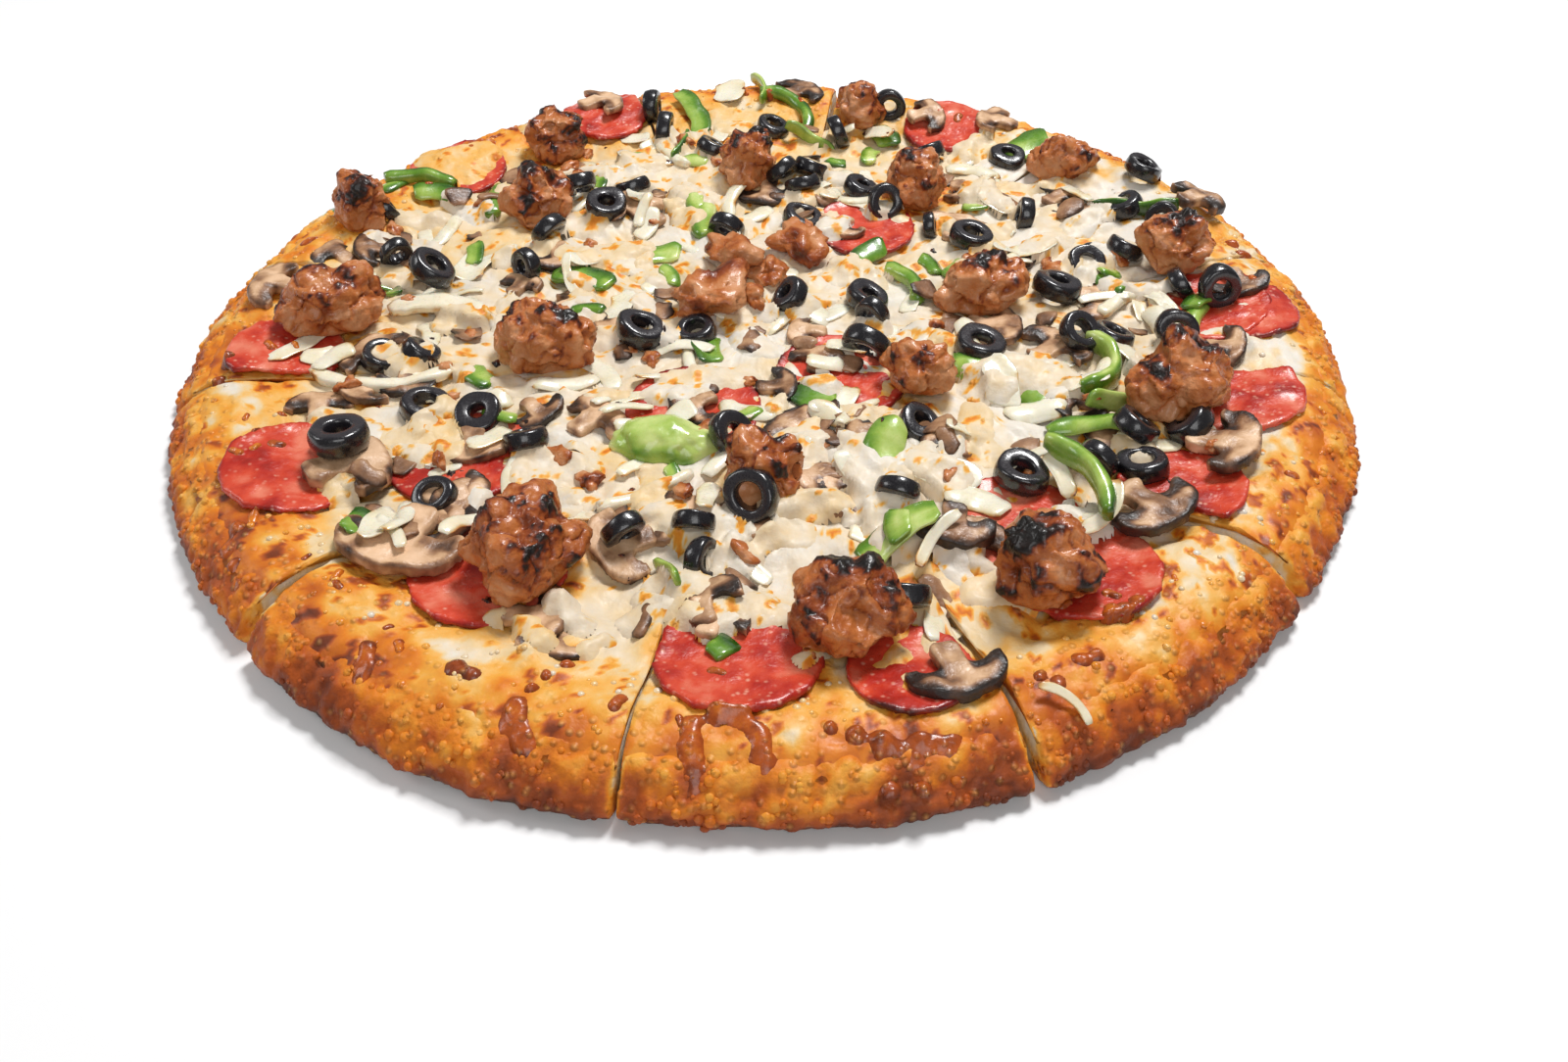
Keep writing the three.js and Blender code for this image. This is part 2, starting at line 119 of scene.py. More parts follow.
@dataclass(frozen=True)
class Slice:
    """A mushroom slice: its middle, cap width, direction of the cap's dome, and level."""

    x: float
    y: float
    width: float
    turn: float
    level: int = 0

    @property
    def reach(self) -> float:
        """Half the room that it takes in plan."""
        return self.width / 2


@dataclass(frozen=True)
class Strip:
    """A bent strip: its middle, radius of bend, width, height, sweep, direction of its bulge, and level."""

    x: float
    y: float
    bend: float
    width: float
    height: float
    sweep: float
    turn: float
    level: int = 0

    @property
    def reach(self) -> float:
        """Half the room that it takes in plan."""
        return 0.6 * self.bend * math.sin(math.radians(self.sweep) / 2)


@dataclass(frozen=True)
class Patch:
    """The wide piece of pepper: middle, width, depth, thickness and turn."""

    x: float
    y: float
    width: float
    depth: float
    thick: float
    turn: float


@dataclass(frozen=True)
class Melt:
    """Melted cheese that ran together from round spots: x, y and radius of each, thickness and tone."""

    spots: Circles
    thick: float
    tone: float


@dataclass(frozen=True)
class Disc:
    """A pepperoni slice that mostly hides under other pieces: middle and radius."""

    x: float
    y: float
    radius: float


# Pieces that stand for solids of their own, in the order of the nodes.
NODE_MUSHROOMS = (
    Slice(-113, -68, 31, 40, 1), Slice(-92, -100, 34, -105, 1), Slice(-155, 17, 23, 170),
    Slice(126, -68, 27, -25, 1), Slice(100, -92, 27, -55, 1), Slice(48, -98, 22, -100, 1),
    Slice(43, -146, 24, -75), Slice(30, -58, 22, 190), Slice(151, 60, 22, 30),
)
NODE_OLIVES = (
    Ring(-115, -64, 16.5, 8, 200, 2), Ring(69, -76, 15, 6, 80), Ring(66, -18, 16, 10, 90),
    Ring(-37, -7, 15.5, 20, 90), Ring(95, 14, 15.5, 14, 120), Ring(72, 46, 15, 8, 90),
    Ring(-54, 70, 15.5, 14, 60), Ring(-107, 27, 15.5, 38, 95),
)
NODE_PEPPERS = (Strip(104, -31, 13, 4, 8, 150, -15), Strip(85, -84, 30, 4.5, 7, 62, 20, 2))
NODE_ONIONS = (Strip(-101, 12, 21, 8, 4, 95, 80),)

# Pieces that are fused to the cheese's solid.
FUSED_OLIVES = (
    Ring(-97, -41, 15, 12, 90), Ring(44, -53, 13, 24, 60), Ring(107, -13, 13.5, 22, 130),
    Ring(34, 10, 14, 20, 90), Ring(112, 34, 13, 10, 90), Ring(93, 104, 14, 12, 90),
    Ring(6, 132, 14, 20, 100), Ring(-17, 113, 12.5, 34, 120), Ring(138, 83, 14, 16, 90),
    Ring(37, 82, 13, 22, 90), Ring(15, 61, 15, 16, 90), Ring(-66, -58, 13, 34, 200),
    Ring(-115, -17, 13, 20, 90),
)
FUSED_MUSHROOMS = (
    Slice(17, -20, 19, 80), Slice(-129, -38, 20, 100), Slice(17, 158, 24, 40),
    Slice(112, 63, 20, 60), Slice(-47, -132, 17, -80), Slice(-143, 42, 20, 150),
)
FUSED_PEPPERS = (
    Strip(132, -8, 42, 6, 6, 42, 160), Strip(17, 146, 20, 5, 5, 110, 30), Strip(-20, 64, 30, 8, 4, 42, 180),
    Strip(50, 22, 14, 5, 5, 100, 20), Strip(-58, 28, 34, 9, 4, 36, 70), Strip(-13, -114, 16, 6, 5, 80, 80),
    Strip(-96, 80, 30, 7, 4, 40, 180), Strip(-123, 92, 26, 5, 5, 58, 90),
)
FUSED_ONIONS = (
    Strip(-114, -29, 32, 4.5, 4, 82, 270), Strip(-31, -79, 70, 4, 4, 23, 300),
    Strip(-34, 114, 34, 5, 4, 42, 210), Strip(114, 9, 60, 4.5, 4, 20, 130),
)
PEPPER_SHELL = Patch(-28, -57, 33, 17, 7.5, -8)

# Smaller pieces that lie on the rest and have no solid.
LOOSE_PEPPERONI = (
    Disc(-84, -62, 20), Disc(-20, -42, 20), Disc(65, -93, 19), Disc(33, -142, 15), Disc(-112, 103, 18),
    Disc(24, -27, 20), Disc(36, 58, 18), Disc(152, -2, 15),
)
LOOSE_OLIVES = (
    Ring(-81, -46, 14, 30, 140), Ring(-87, -81, 12, 10, 90), Ring(-103, -15, 12, 35, 80),
    Ring(-20, -5, 13, 8, 90), Ring(-9, -58, 13, 60, 200), Ring(-3, -87, 15, 50, 20),
    Ring(-18, -94, 12, 72, 170), Ring(-15, -106, 12, 78, 185), Ring(-36, -98, 12, 70, 140),
    Ring(33, -121, 14, 50, 70), Ring(35, -83, 12, 65, 100), Ring(32, -18, 15.5, 55, 80),
    Ring(48, -31, 12, 80, 90), Ring(96, -16, 13, 45, 150), Ring(126, -13, 13, 60, 90),
    Ring(103, -60, 14, 20, 60), Ring(118, -58, 14.5, 35, 80), Ring(102, -73, 14, 15, 100),
    Ring(90, -72, 12, 60, 40), Ring(143, 4, 14, 75, 60), Ring(134, 12, 12, 60, 140),
    Ring(35, -1, 12, 70, 30), Ring(9, 10, 13, 40, 90), Ring(122, 37, 13.5, 30, 60),
    Ring(107, 28, 13, 30, 100), Ring(137, 49, 13, 60, 30), Ring(127, 63, 13, 25, 90),
    Ring(92, 60, 12, 70, 60), Ring(64, 108, 13, 40, 80), Ring(52, 140, 13, 72, 30),
    Ring(31, 122, 13, 70, 100), Ring(8, 92, 13, 50, 90), Ring(20, 98, 14, 30, 60),
    Ring(16, 82, 13, 45, 120), Ring(44, 67, 13, 60, 30), Ring(59, 55, 10, 70, 60),
    Ring(-122, 40, 12, 70, 100), Ring(-77, 30, 12, 82, 90), Ring(-65, 84, 14, 40, 30),
    Ring(-72, 52, 14, 60, 80), Ring(-46, 86, 13, 20, 60), Ring(-11, 56, 13, 60, 100),
    Ring(-36, 128, 14, 72, 60), Ring(-41, 143, 14, 76, 40), Ring(-130, 66, 11, 60, 90),
)
MIDDLE_CRUMBS = (
    Ring(-9, 34, 20), Ring(14, 44, 18, 0, 60), Ring(-17, 8, 22, 0, 15), Ring(3, 26, 13, 0, 120),
    Ring(-2, 10, 12),
)
LOOSE_MUSHROOMS = (
    Slice(-80, -58, 22, 60), Slice(-48, -46, 22, 110), Slice(-26, -88, 20, 70), Slice(-12, -126, 18, -60),
    Slice(52, -60, 20, 10), Slice(98, -58, 24, -20), Slice(5, -33, 18, 100), Slice(52, -10, 20, 95),
    Slice(140, -20, 18, 40), Slice(66, 132, 20, 30), Slice(92, 128, 22, 60), Slice(28, 56, 18, 160),
    Slice(-62, 147, 24, 200), Slice(-78, 24, 16, 120), Slice(152, 10, 20, 20), Slice(-8, 12, 20, 100),
    Slice(108, 76, 20, 140), Slice(-131, 44, 20, 100), Slice(-15, -121, 22, 200), Slice(-55, -124, 22, 230),
)
LOOSE_PEPPERS = (
    Strip(-17, -13, 22, 7, 3, 40, 60), Strip(-75, -46, 10, 5, 4, 60, 80), Strip(-85, -25, 16, 6, 3, 45, 100),
    Strip(-103, -95, 9, 8, 6, 60, -60), Strip(-23, -110, 16, 5, 5, 50, 150),
    Strip(-50, -66, 12, 5, 4, 60, 40),
    Strip(16, -40, 12, 12, 5, 55, -60), Strip(100, -46, 26, 5, 6, 40, -10), Strip(91, -55, 30, 5, 4, 45, 160),
    Strip(30, -78, 60, 9, 3, 30, 190), Strip(34, -100, 60, 8, 3, 22, 200), Strip(74, -30, 40, 14, 3, 50, 60),
    Strip(36, 40, 20, 6, 5, 40, 120), Strip(3, 158, 18, 5, 5, 70, 90), Strip(21, 124, 22, 5, 5, 60, 0),
    Strip(49, 126, 14, 8, 4, 60, 90), Strip(42, 113, 12, 5, 4, 60, 10), Strip(101, 110, 20, 11, 4, 50, 170),
    Strip(130, 60, 60, 5, 5, 28, 0), Strip(80, 71, 18, 6, 3, 50, 60), Strip(66, 31, 16, 5, 3, 50, 100),
    Strip(112, 16, 14, 5, 4, 50, 30), Strip(-38, 44, 30, 8, 3, 42, 90), Strip(-24, 142, 34, 6, 5, 50, 10),
    Strip(-28, 118, 30, 5, 5, 40, 170), Strip(-46, 108, 16, 6, 4, 50, 100), Strip(-58, 95, 14, 5, 4, 60, 60),
    Strip(-114, 83, 20, 6, 4, 60, 60), Strip(-132, 88, 12, 5, 4, 60, 120), Strip(-152, 72, 12, 5, 4, 60, 150),
    Strip(-128, 28, 10, 5, 4, 120, 40), Strip(33, -66, 26, 8, 3, 40, 170), Strip(10, -62, 16, 6, 3, 30, 30),
)
LOOSE_ONIONS = (
    Strip(-138, -8, 30, 4, 3, 60, 240), Strip(-103, -24, 26, 3.5, 3, 70, 280),
    Strip(-40, -37, 12, 4, 3, 110, 270),
    Strip(-56, -88, 60, 3.5, 2.5, 24, 300), Strip(-15, -84, 40, 4, 2.5, 26, 20),
    Strip(-5, -45, 16, 5, 2.5, 60, 10),
    Strip(-95, 40, 20, 8, 2.5, 60, 60), Strip(-42, 108, 22, 4, 3, 60, 200), Strip(-10, 78, 16, 4, 3, 80, 200),
    Strip(-11, 158, 14, 8, 3, 60, 60), Strip(90, 38, 18, 7, 2.5, 60, 60), Strip(32, 76, 30, 4, 3, 40, 60),
    Strip(25, 92, 26, 4, 3, 50, 150), Strip(15, 80, 22, 4, 3, 50, 100), Strip(5, 3, 14, 7, 3, 60, 10),
    Strip(16, 6, 14, 7, 3, 60, 160), Strip(36, -4, 14, 6, 3, 60, 60), Strip(111, 78, 40, 3, 3, 36, 40),
    Strip(80, 98, 20, 5, 3, 60, 120), Strip(48, -74, 18, 8, 3, 60, 60), Strip(70, -36, 16, 7, 2.5, 60, 20),
    Strip(78, -46, 16, 6, 2.5, 60, 120), Strip(40, -124, 26, 4, 3, 40, 60),
    Strip(67, -152, 12, 1.6, 1.6, 70, 30),
    Strip(-58, -30, 20, 4, 2.5, 60, 200), Strip(56, -84, 20, 6, 3, 50, 10),
    Strip(127, 5, 50, 3.5, 3, 30, 120),
    Strip(-70, 100, 22, 5, 3, 60, 160), Strip(20, -50, 18, 5, 2.5, 50, 80),
    Strip(-45, 12, 18, 6, 2.5, 60, 110),
)
# Browned drips and blisters of cheese on the rim.
DRIPS = (
    Melt(((-93, -134, 2.2), (-93, -139, 3.3), (-93.5, -143, 2.4)), 1.3, 0.47),
    Melt(((-46, -139, 1.8), (-50, -143, 1.6), (-53, -147, 1.8), (-56, -152, 3.0), (-56, -157, 3.8),
          (-53, -161, 2.8)), 1.5, 0.47),
    Melt(((-136, -92, 2.6), (-137, -98, 2.8), (-134, -104, 2.4), (-131, -110, 2.2)), 1.3, 0.47),
    Melt(((-11, -156, 2.8), (-17, -158, 2.8), (-17, -163, 3.4), (-16, -168, 3.6), (-6, -157, 2.8),
          (-2, -161, 3.2), (-1, -167, 3.6)), 1.4, 0.45),
    Melt(((14, -159, 1.8), (19, -161, 2.4), (25, -163, 3.2), (33, -165, 4.8), (40, -164, 3.8)), 1.5, 0.5),
    Melt(((20, -170, 1.8), (26, -171, 2.2), (33, -171, 2.0)), 1.2, 0.5),
    Melt(((62, -145, 1.8), (66, -147, 2.0)), 1.2, 0.5), Melt(((72, -141, 2.4), (76, -140, 1.8)), 1.2, 0.48),
    Melt(((85, -128, 2.0), (88, -125, 2.2)), 1.2, 0.46), Melt(((-71, -141, 3.0), (-67, -143, 2.4)), 1.0, 0.6),
    Melt(((-104, 120, 4.0), (-110, 116, 3.0)), 1.4, 0.4), Melt(((128, 110, 2.6), (132, 106, 2.2)), 1.3, 0.5),
    Melt(((158, 38, 2.4), (160, 32, 3.0)), 1.3, 0.48), Melt(((-160, -20, 2.6), (-161, -27, 2.2)), 1.3, 0.55),
)
# Melted cheese that covers parts of the toppings.
DRAPES = (
    Melt(((-122, 108, 9), (-110, 102, 11), (-104, 112, 8)), 1.6, 0.16),
    Melt(((-50, -120, 4.6), (-44, -126, 4)), 2.2, 0.05),
    Melt(((-57, -128, 4.2), (-52, -133, 3.6)), 2.0, 0.12),
    Melt(((-61, -118, 3.4), (-65, -124, 3)), 1.8, 0.1), Melt(((-42, -134, 3), (-38, -130, 2.6)), 1.5, 0.08),
    Melt(((-20, -123, 5.5), (-11, -124, 6.5), (-1, -122, 6), (6, -125, 4)), 1.6, 0.07),
    Melt(((-25, -120, 4), (-29, -116, 4)), 1.5, 0.04),
    Melt(((12, -133, 4), (9, -139, 3), (15, -127, 4)), 1.6, 0.08),
    Melt(((50, -100, 6), (54, -108, 4)), 1.4, 0.04),
    Melt(((78, -28, 10), (66, -34, 9), (88, -36, 8)), 1.9, 0.05),
    Melt(((30, -74, 10), (32, -86, 9), (34, -98, 8), (26, -64, 7)), 1.8, 0.03),
    Melt(((6, -66, 9), (14, -60, 7), (0, -74, 6)), 1.6, 0.04), Melt(((44, -70, 8), (50, -76, 6)), 1.5, 0.05),
    Melt(((-52, 44, 10), (-62, 40, 7), (-42, 48, 7)), 1.6, 0.08),
    Melt(((-25, 84, 9), (-18, 78, 7)), 1.6, 0.05),
    Melt(((28, 30, 9), (36, 26, 7)), 1.5, 0.05), Melt(((84, 76, 9), (92, 70, 7)), 1.6, 0.06),
    Melt(((95, 42, 8), (102, 48, 6)), 1.4, 0.05), Melt(((-92, 52, 10), (-84, 56, 7)), 1.6, 0.12),
    Melt(((-16, -28, 8), (-6, -26, 6), (-26, -30, 5)), 1.4, 0.06),
    Melt(((-60, -70, 9), (-52, -64, 7)), 1.5, 0.05),
    Melt(((84, 112, 8), (76, 108, 6)), 1.4, 0.08), Melt(((-84, 132, 9), (-76, 130, 7)), 1.4, 0.12),
    Melt(((118, -22, 7), (124, -28, 5)), 1.3, 0.06), Melt(((60, 100, 7), (54, 94, 6)), 1.4, 0.06),
    Melt(((-100, -58, 5), (-94, -62, 5)), 1.2, 0.05), Melt(((-47, 88, 8), (-40, 92, 6)), 1.3, 0.05),
)


def radius_of(points: Points) -> Points:
    """Distance of each point from the Z axis, in its own unit."""
    return np.hypot(points[:, 0], points[:, 1])


def flattened(points: Points) -> Points:
    """The points brought down to height 0."""
    return points * np.array([1.0, 1.0, 0.0])


def rotated(points: Points, turn: Matrix) -> Points:
    """The points turned about the origin."""
    return points @ np.array(turn).T


def ripple(u: Points, v: Points, w: float = 0.0) -> Points:
    """A smooth wave in -1..1, the same that the solids carry.

    Args:
        u: First coordinate, in wavelengths.
        v: Second coordinate.
        w: A third, which picks another pattern.

    Returns:
        One value for each point.
    """
    waves = np.sin(1.3 * u + 2.1 * v + 0.7 * w) + np.sin(-2.3 * u + 1.1 * v + 1.9 * w + 1.7)
    return (waves + np.sin(0.9 * u - 1.7 * v + 2.7 * w + 4.1)) / 3


def ease(value: Points, low: float, high: float) -> Points:
    """A smooth step.

    Args:
        value: What is compared.
        low: Where the step starts, at 0.
        high: Where it ends, at 1.

    Returns:
        0 to 1 for each value.
    """
    share = np.clip((value - low) / (high - low), 0.0, 1.0)
    return share * share * (3 - 2 * share)


def fractal(points: Points, scale: float, octaves: int = 3, seed: float = 0.0) -> Points:
    """Uneven noise of roughly -1 to 1.

    Args:
        points: Places in mm.
        scale: Size of its largest lumps in mm.
        octaves: How many finer layers it has.
        seed: Picks another pattern.

    Returns:
        One value for each point.
    """
    shift = Vector((17.3 * seed, 9.1 * seed, 5.7 * seed))
    return np.array([noise.fractal(Vector(p) / scale + shift, 0.9, 2.0, octaves) for p in points])


def bubbles(points: Points, scale: float, seed: float = 0.0) -> Points:
    """Rounded bumps, 1 in the middle of each and 0 between them.

    Args:
        points: Places in mm.
        scale: Distance between bumps in mm.
        seed: Picks another pattern.

    Returns:
        One value for each point.
    """
    shift = Vector((3.7 * seed, 8.3 * seed, 1.9 * seed))
    near = np.array([noise.voronoi(Vector(p) / scale + shift)[0][0] for p in points])
    return np.clip(1 - 1.5 * near * near, 0.0, 1.0)


def baked(points: Points) -> Points:
    """How browned the rim is, with painted shade on the front of the rim, the same on dough and cheese, so
    that they meet without a line.

    Args:
        points: Places in mm.

    Returns:
        A tone for each.
    """
    radius = radius_of(points)
    wide, patch, small = fractal(points, 40, 2, 9), fractal(points, 12, 3, 10), fractal(points, 4.5, 2, 12)
    tone = 0.05 * ease(radius, 96, 130) + 0.08 * ease(radius + 7 * wide, 134, 150)
    tone += 0.15 * ease(radius + 5 * patch, 150, 166)
    tone += ease(radius, 142, 158) * (0.17 * patch + 0.1 * wide + 0.1 * small)
    # Painted shade: the front of the rim, on the camera side away from the key light, is made browner.
    painted_front_shade = ease(-points[:, 1], 60, 160) * ease(radius, 150, 165)
    pale = ease(points[:, 0], 30, 100) * ease(radius, 118, 136) * (1 - ease(radius + 3 * patch, 157, 171))
    return tone + 0.13 * ease(radius + 3 * patch, 168, 176) + 0.06 * painted_front_shade - 0.13 * pale


class Base:
    """The form of the dough and cheese, as the solids have it."""

    TOP = (
        (RIM_FOOT_RADIUS, DOUGH_FLOOR), (142.0, DOUGH_FLOOR + 1.6), (150.0, RIM_HEIGHT - 1.7),
        (RIM_CREST_RADIUS, RIM_HEIGHT), (165.0, RIM_HEIGHT - 0.6), (CHEESE_EDGE_RADIUS, RIM_HEIGHT - 2.6),
    )

    def cheese(self, radius: Points) -> Points:
        """Height of the cheese's upper side at a radius, before the rim's own waves.

        Args:
            radius: Distances from the middle, in mm.

        Returns:
            One height for each radius, in mm.
        """
        stations, heights = zip(*self.TOP)
        thinning = 0.45 * ease(radius, RIM_FOOT_RADIUS, RIM_CREST_RADIUS)
        thinning = thinning + 0.3 * ease(radius, RIM_CREST_RADIUS, CHEESE_EDGE_RADIUS)
        return np.interp(radius, stations, heights) + GAP + CHEESE_THICKNESS * (1 - thinning)

    def slope(self, x: float, y: float) -> float:
        """Slope of the cheese along the radius, in radians."""
        radius = math.hypot(x, y)
        rise = self.cheese(np.array([radius + 6, radius - 6]))
        return math.atan2(float(rise[0] - rise[1]), 12.0)

    def wave(self, points: Points) -> Points:
        """Moves points as the uneven rim does.

        Args:
            points: Places in mm.

        Returns:
            The moved places.
        """
        radius = np.maximum(radius_of(points), 1e-6)
        share = ease(radius, RIM_FOOT_RADIUS - 8, RIM_CREST_RADIUS)
        c, s = points[:, 0] / radius, points[:, 1] / radius
        swell = 1 + share * (1.6 * ripple(4 * c, 4 * s) + 0.7 * ripple(13 * c, 13 * s, 2)) / radius
        lift = share * (1.1 * ripple(3 * c, 3 * s, 5) + 0.5 * ripple(11 * c, 11 * s, 3))
        moved = points * np.stack([swell, swell, np.ones_like(swell)], axis=1)
        moved[:, 2] += np.where(points[:, 2] > 1, lift, 0.0)
        return moved

    def settle(self, local: Points, x: float, y: float, turn: float, level: int, sink: float) -> Points:
        """Brings a shape made round the origin to its place, tilted as the cheese is there.

        Args:
            local: Places round the origin, in mm.
            x: Place of its middle.
            y: Place of its middle.
            turn: Its turn about Z in degrees.
            level: What it lies on, an index into LEVELS.
            sink: How far it is pressed in.

        Returns:
            The moved places.
        """
        slope, outward = self.slope(x, y), math.atan2(y, x)
        turned = Matrix.Rotation(outward, 3, "Z") @ Matrix.Rotation(-slope, 3, "Y")
        turned = turned @ Matrix.Rotation(math.radians(turn) - outward, 3, "Z")
        moved = rotated(local, turned)
        span = np.ptp(moved, axis=0)
        reach = math.hypot(span[0] * math.cos(outward), span[1] * math.sin(outward)) / 2
        base = float(self.cheese(np.array([math.hypot(x, y)]))[0]) - 0.7 * math.sin(slope) * reach - sink
        return moved + np.array([x, y, base + LEVELS[level] - moved[:, 2].min()])


class Coat(Enum):
    """How oily a surface is, as coat weight and coat roughness."""

    MOIST = (0.05, 0.25)
    OILY = (0.3, 0.16)
    WET = (0.6, 0.1)


def new_node(
    tree: bpy.types.NodeTree,
    kind: str,
    inputs: dict[str | int, float | tuple[float, ...]] | None = None,
    **settings: str | bool | bpy.types.NodeTree,
) -> bpy.types.Node:
    """Adds a shader node.

    Args:
        tree: The nodes that it joins.
        kind: Its type, without the word that all shader nodes start with.
        inputs: Values of its inputs.
        **settings: Its properties.

    Returns:
        The node.
    """
    node = tree.nodes.new(f"ShaderNode{kind}")
    for key, value in settings.items():
        setattr(node, key, value)
    for key, value in (inputs or {}).items():
        node.inputs[key].default_value = value
    return node


def wire(tree: bpy.types.NodeTree, *pairs: tuple[bpy.types.NodeSocket, bpy.types.NodeSocket]) -> None:
    """Links sockets in pairs, the one that gives before the one that takes."""
    for giver, taker in pairs:
        tree.links.new(giver, taker)


def new_group(name: str, extra: tuple[str, ...], gives: tuple[str, ...]) -> bpy.types.ShaderNodeTree:
    """A node group that takes a vector and a tone, with its end nodes In and Out.

    Args:
        name: Its name.
        extra: The further numbers that it takes.
        gives: The numbers that it gives.

    Returns:
        The group.
    """
    group = bpy.data.node_groups.new(name, "ShaderNodeTree")
    group.interface.new_socket("Vector", in_out="INPUT", socket_type="NodeSocketVector")
    for socket in ("Tone", *extra):
        group.interface.new_socket(socket, in_out="INPUT", socket_type="NodeSocketFloat")
    for socket in gives:
        group.interface.new_socket(socket, in_out="OUTPUT", socket_type="NodeSocketFloat")
    group.nodes.new("NodeGroupInput").name = "In"
    group.nodes.new("NodeGroupOutput").name = "Out"
    return group


def unevenness_group() -> bpy.types.ShaderNodeTree:
    """The node group that adds noise of two sizes to a tone.

    Returns:
        The group, made once.
    """
    name = "Unevenness"
    if name in bpy.data.node_groups:
        return bpy.data.node_groups[name]
    group = new_group(name, ("Amount", "Scale"), ("Tone", "Fine"))
    takes, gives = group.nodes["In"].outputs, group.nodes["Out"].inputs
    coarse = new_node(group, "TexNoise", {"Detail": 5.0, "Roughness": 0.62})
    fine = new_node(group, "TexNoise", {"Detail": 3.0})
    finer = new_node(group, "Math", {1: 5.0}, operation="MULTIPLY")
    centred = new_node(group, "Math", {1: 0.5}, operation="SUBTRACT")
    added = new_node(group, "Math", operation="MULTIPLY_ADD", use_clamp=True)
    wire(
        group,
        (takes["Vector"], coarse.inputs["Vector"]),
        (takes["Vector"], fine.inputs["Vector"]),
        (takes["Scale"], coarse.inputs["Scale"]),
        (takes["Scale"], finer.inputs[0]),
        (finer.outputs[0], fine.inputs["Scale"]),
        (coarse.outputs[0], centred.inputs[0]),
        (centred.outputs[0], added.inputs[0]),
        (takes["Amount"], added.inputs[1]),
        (takes["Tone"], added.inputs[2]),
        (added.outputs[0], gives["Tone"]),
        (fine.outputs[0], gives["Fine"]),
    )
    return group


def spots_group() -> bpy.types.ShaderNodeTree:
    """The node group that makes a mask of round spots, in patches, where a tone is high enough.

    Returns:
        The group, made once.
    """
    name = "Spots"
    if name in bpy.data.node_groups:
        return bpy.data.node_groups[name]
    group = new_group(name, ("Scale", "Size"), ("Mask",))
    takes, gives = group.nodes["In"].outputs, group.nodes["Out"].inputs
    cells = new_node(group, "TexVoronoi")
    patches = new_node(group, "TexNoise", {"Scale": 110.0})
    falling = {"From Min": 0.04, "To Min": 1.0, "To Max": 0.0}
    rounds = new_node(group, "MapRange", falling, interpolation_type="SMOOTHSTEP")
    toned = new_node(group, "MapRange", {"From Min": 0.12, "From Max": 0.3})
    patched = new_node(group, "MapRange", {"From Min": 0.38, "From Max": 0.56})
    first, second = (new_node(group, "Math", operation="MULTIPLY") for _ in range(2))
    wire(
        group,
        (takes["Vector"], cells.inputs["Vector"]),
        (takes["Vector"], patches.inputs["Vector"]),
        (takes["Scale"], cells.inputs["Scale"]),
        (takes["Size"], rounds.inputs["From Max"]),
        (cells.outputs["Distance"], rounds.inputs["Value"]),
        (takes["Tone"], toned.inputs["Value"]),
        (patches.outputs[0], patched.inputs["Value"]),
        (rounds.outputs["Result"], first.inputs[0]),
        (toned.outputs["Result"], first.inputs[1]),
        (first.outputs[0], second.inputs[0]),
        (patched.outputs["Result"], second.inputs[1]),
        (second.outputs[0], gives["Mask"]),
    )
    return group


@dataclass(frozen=True)
class Spots:
    """Small round spots in a surface: colour, spots a metre, size in cells, strength, and lift."""

    colour: Colour
    scale: float
    size: float
    share: float
    lift: float


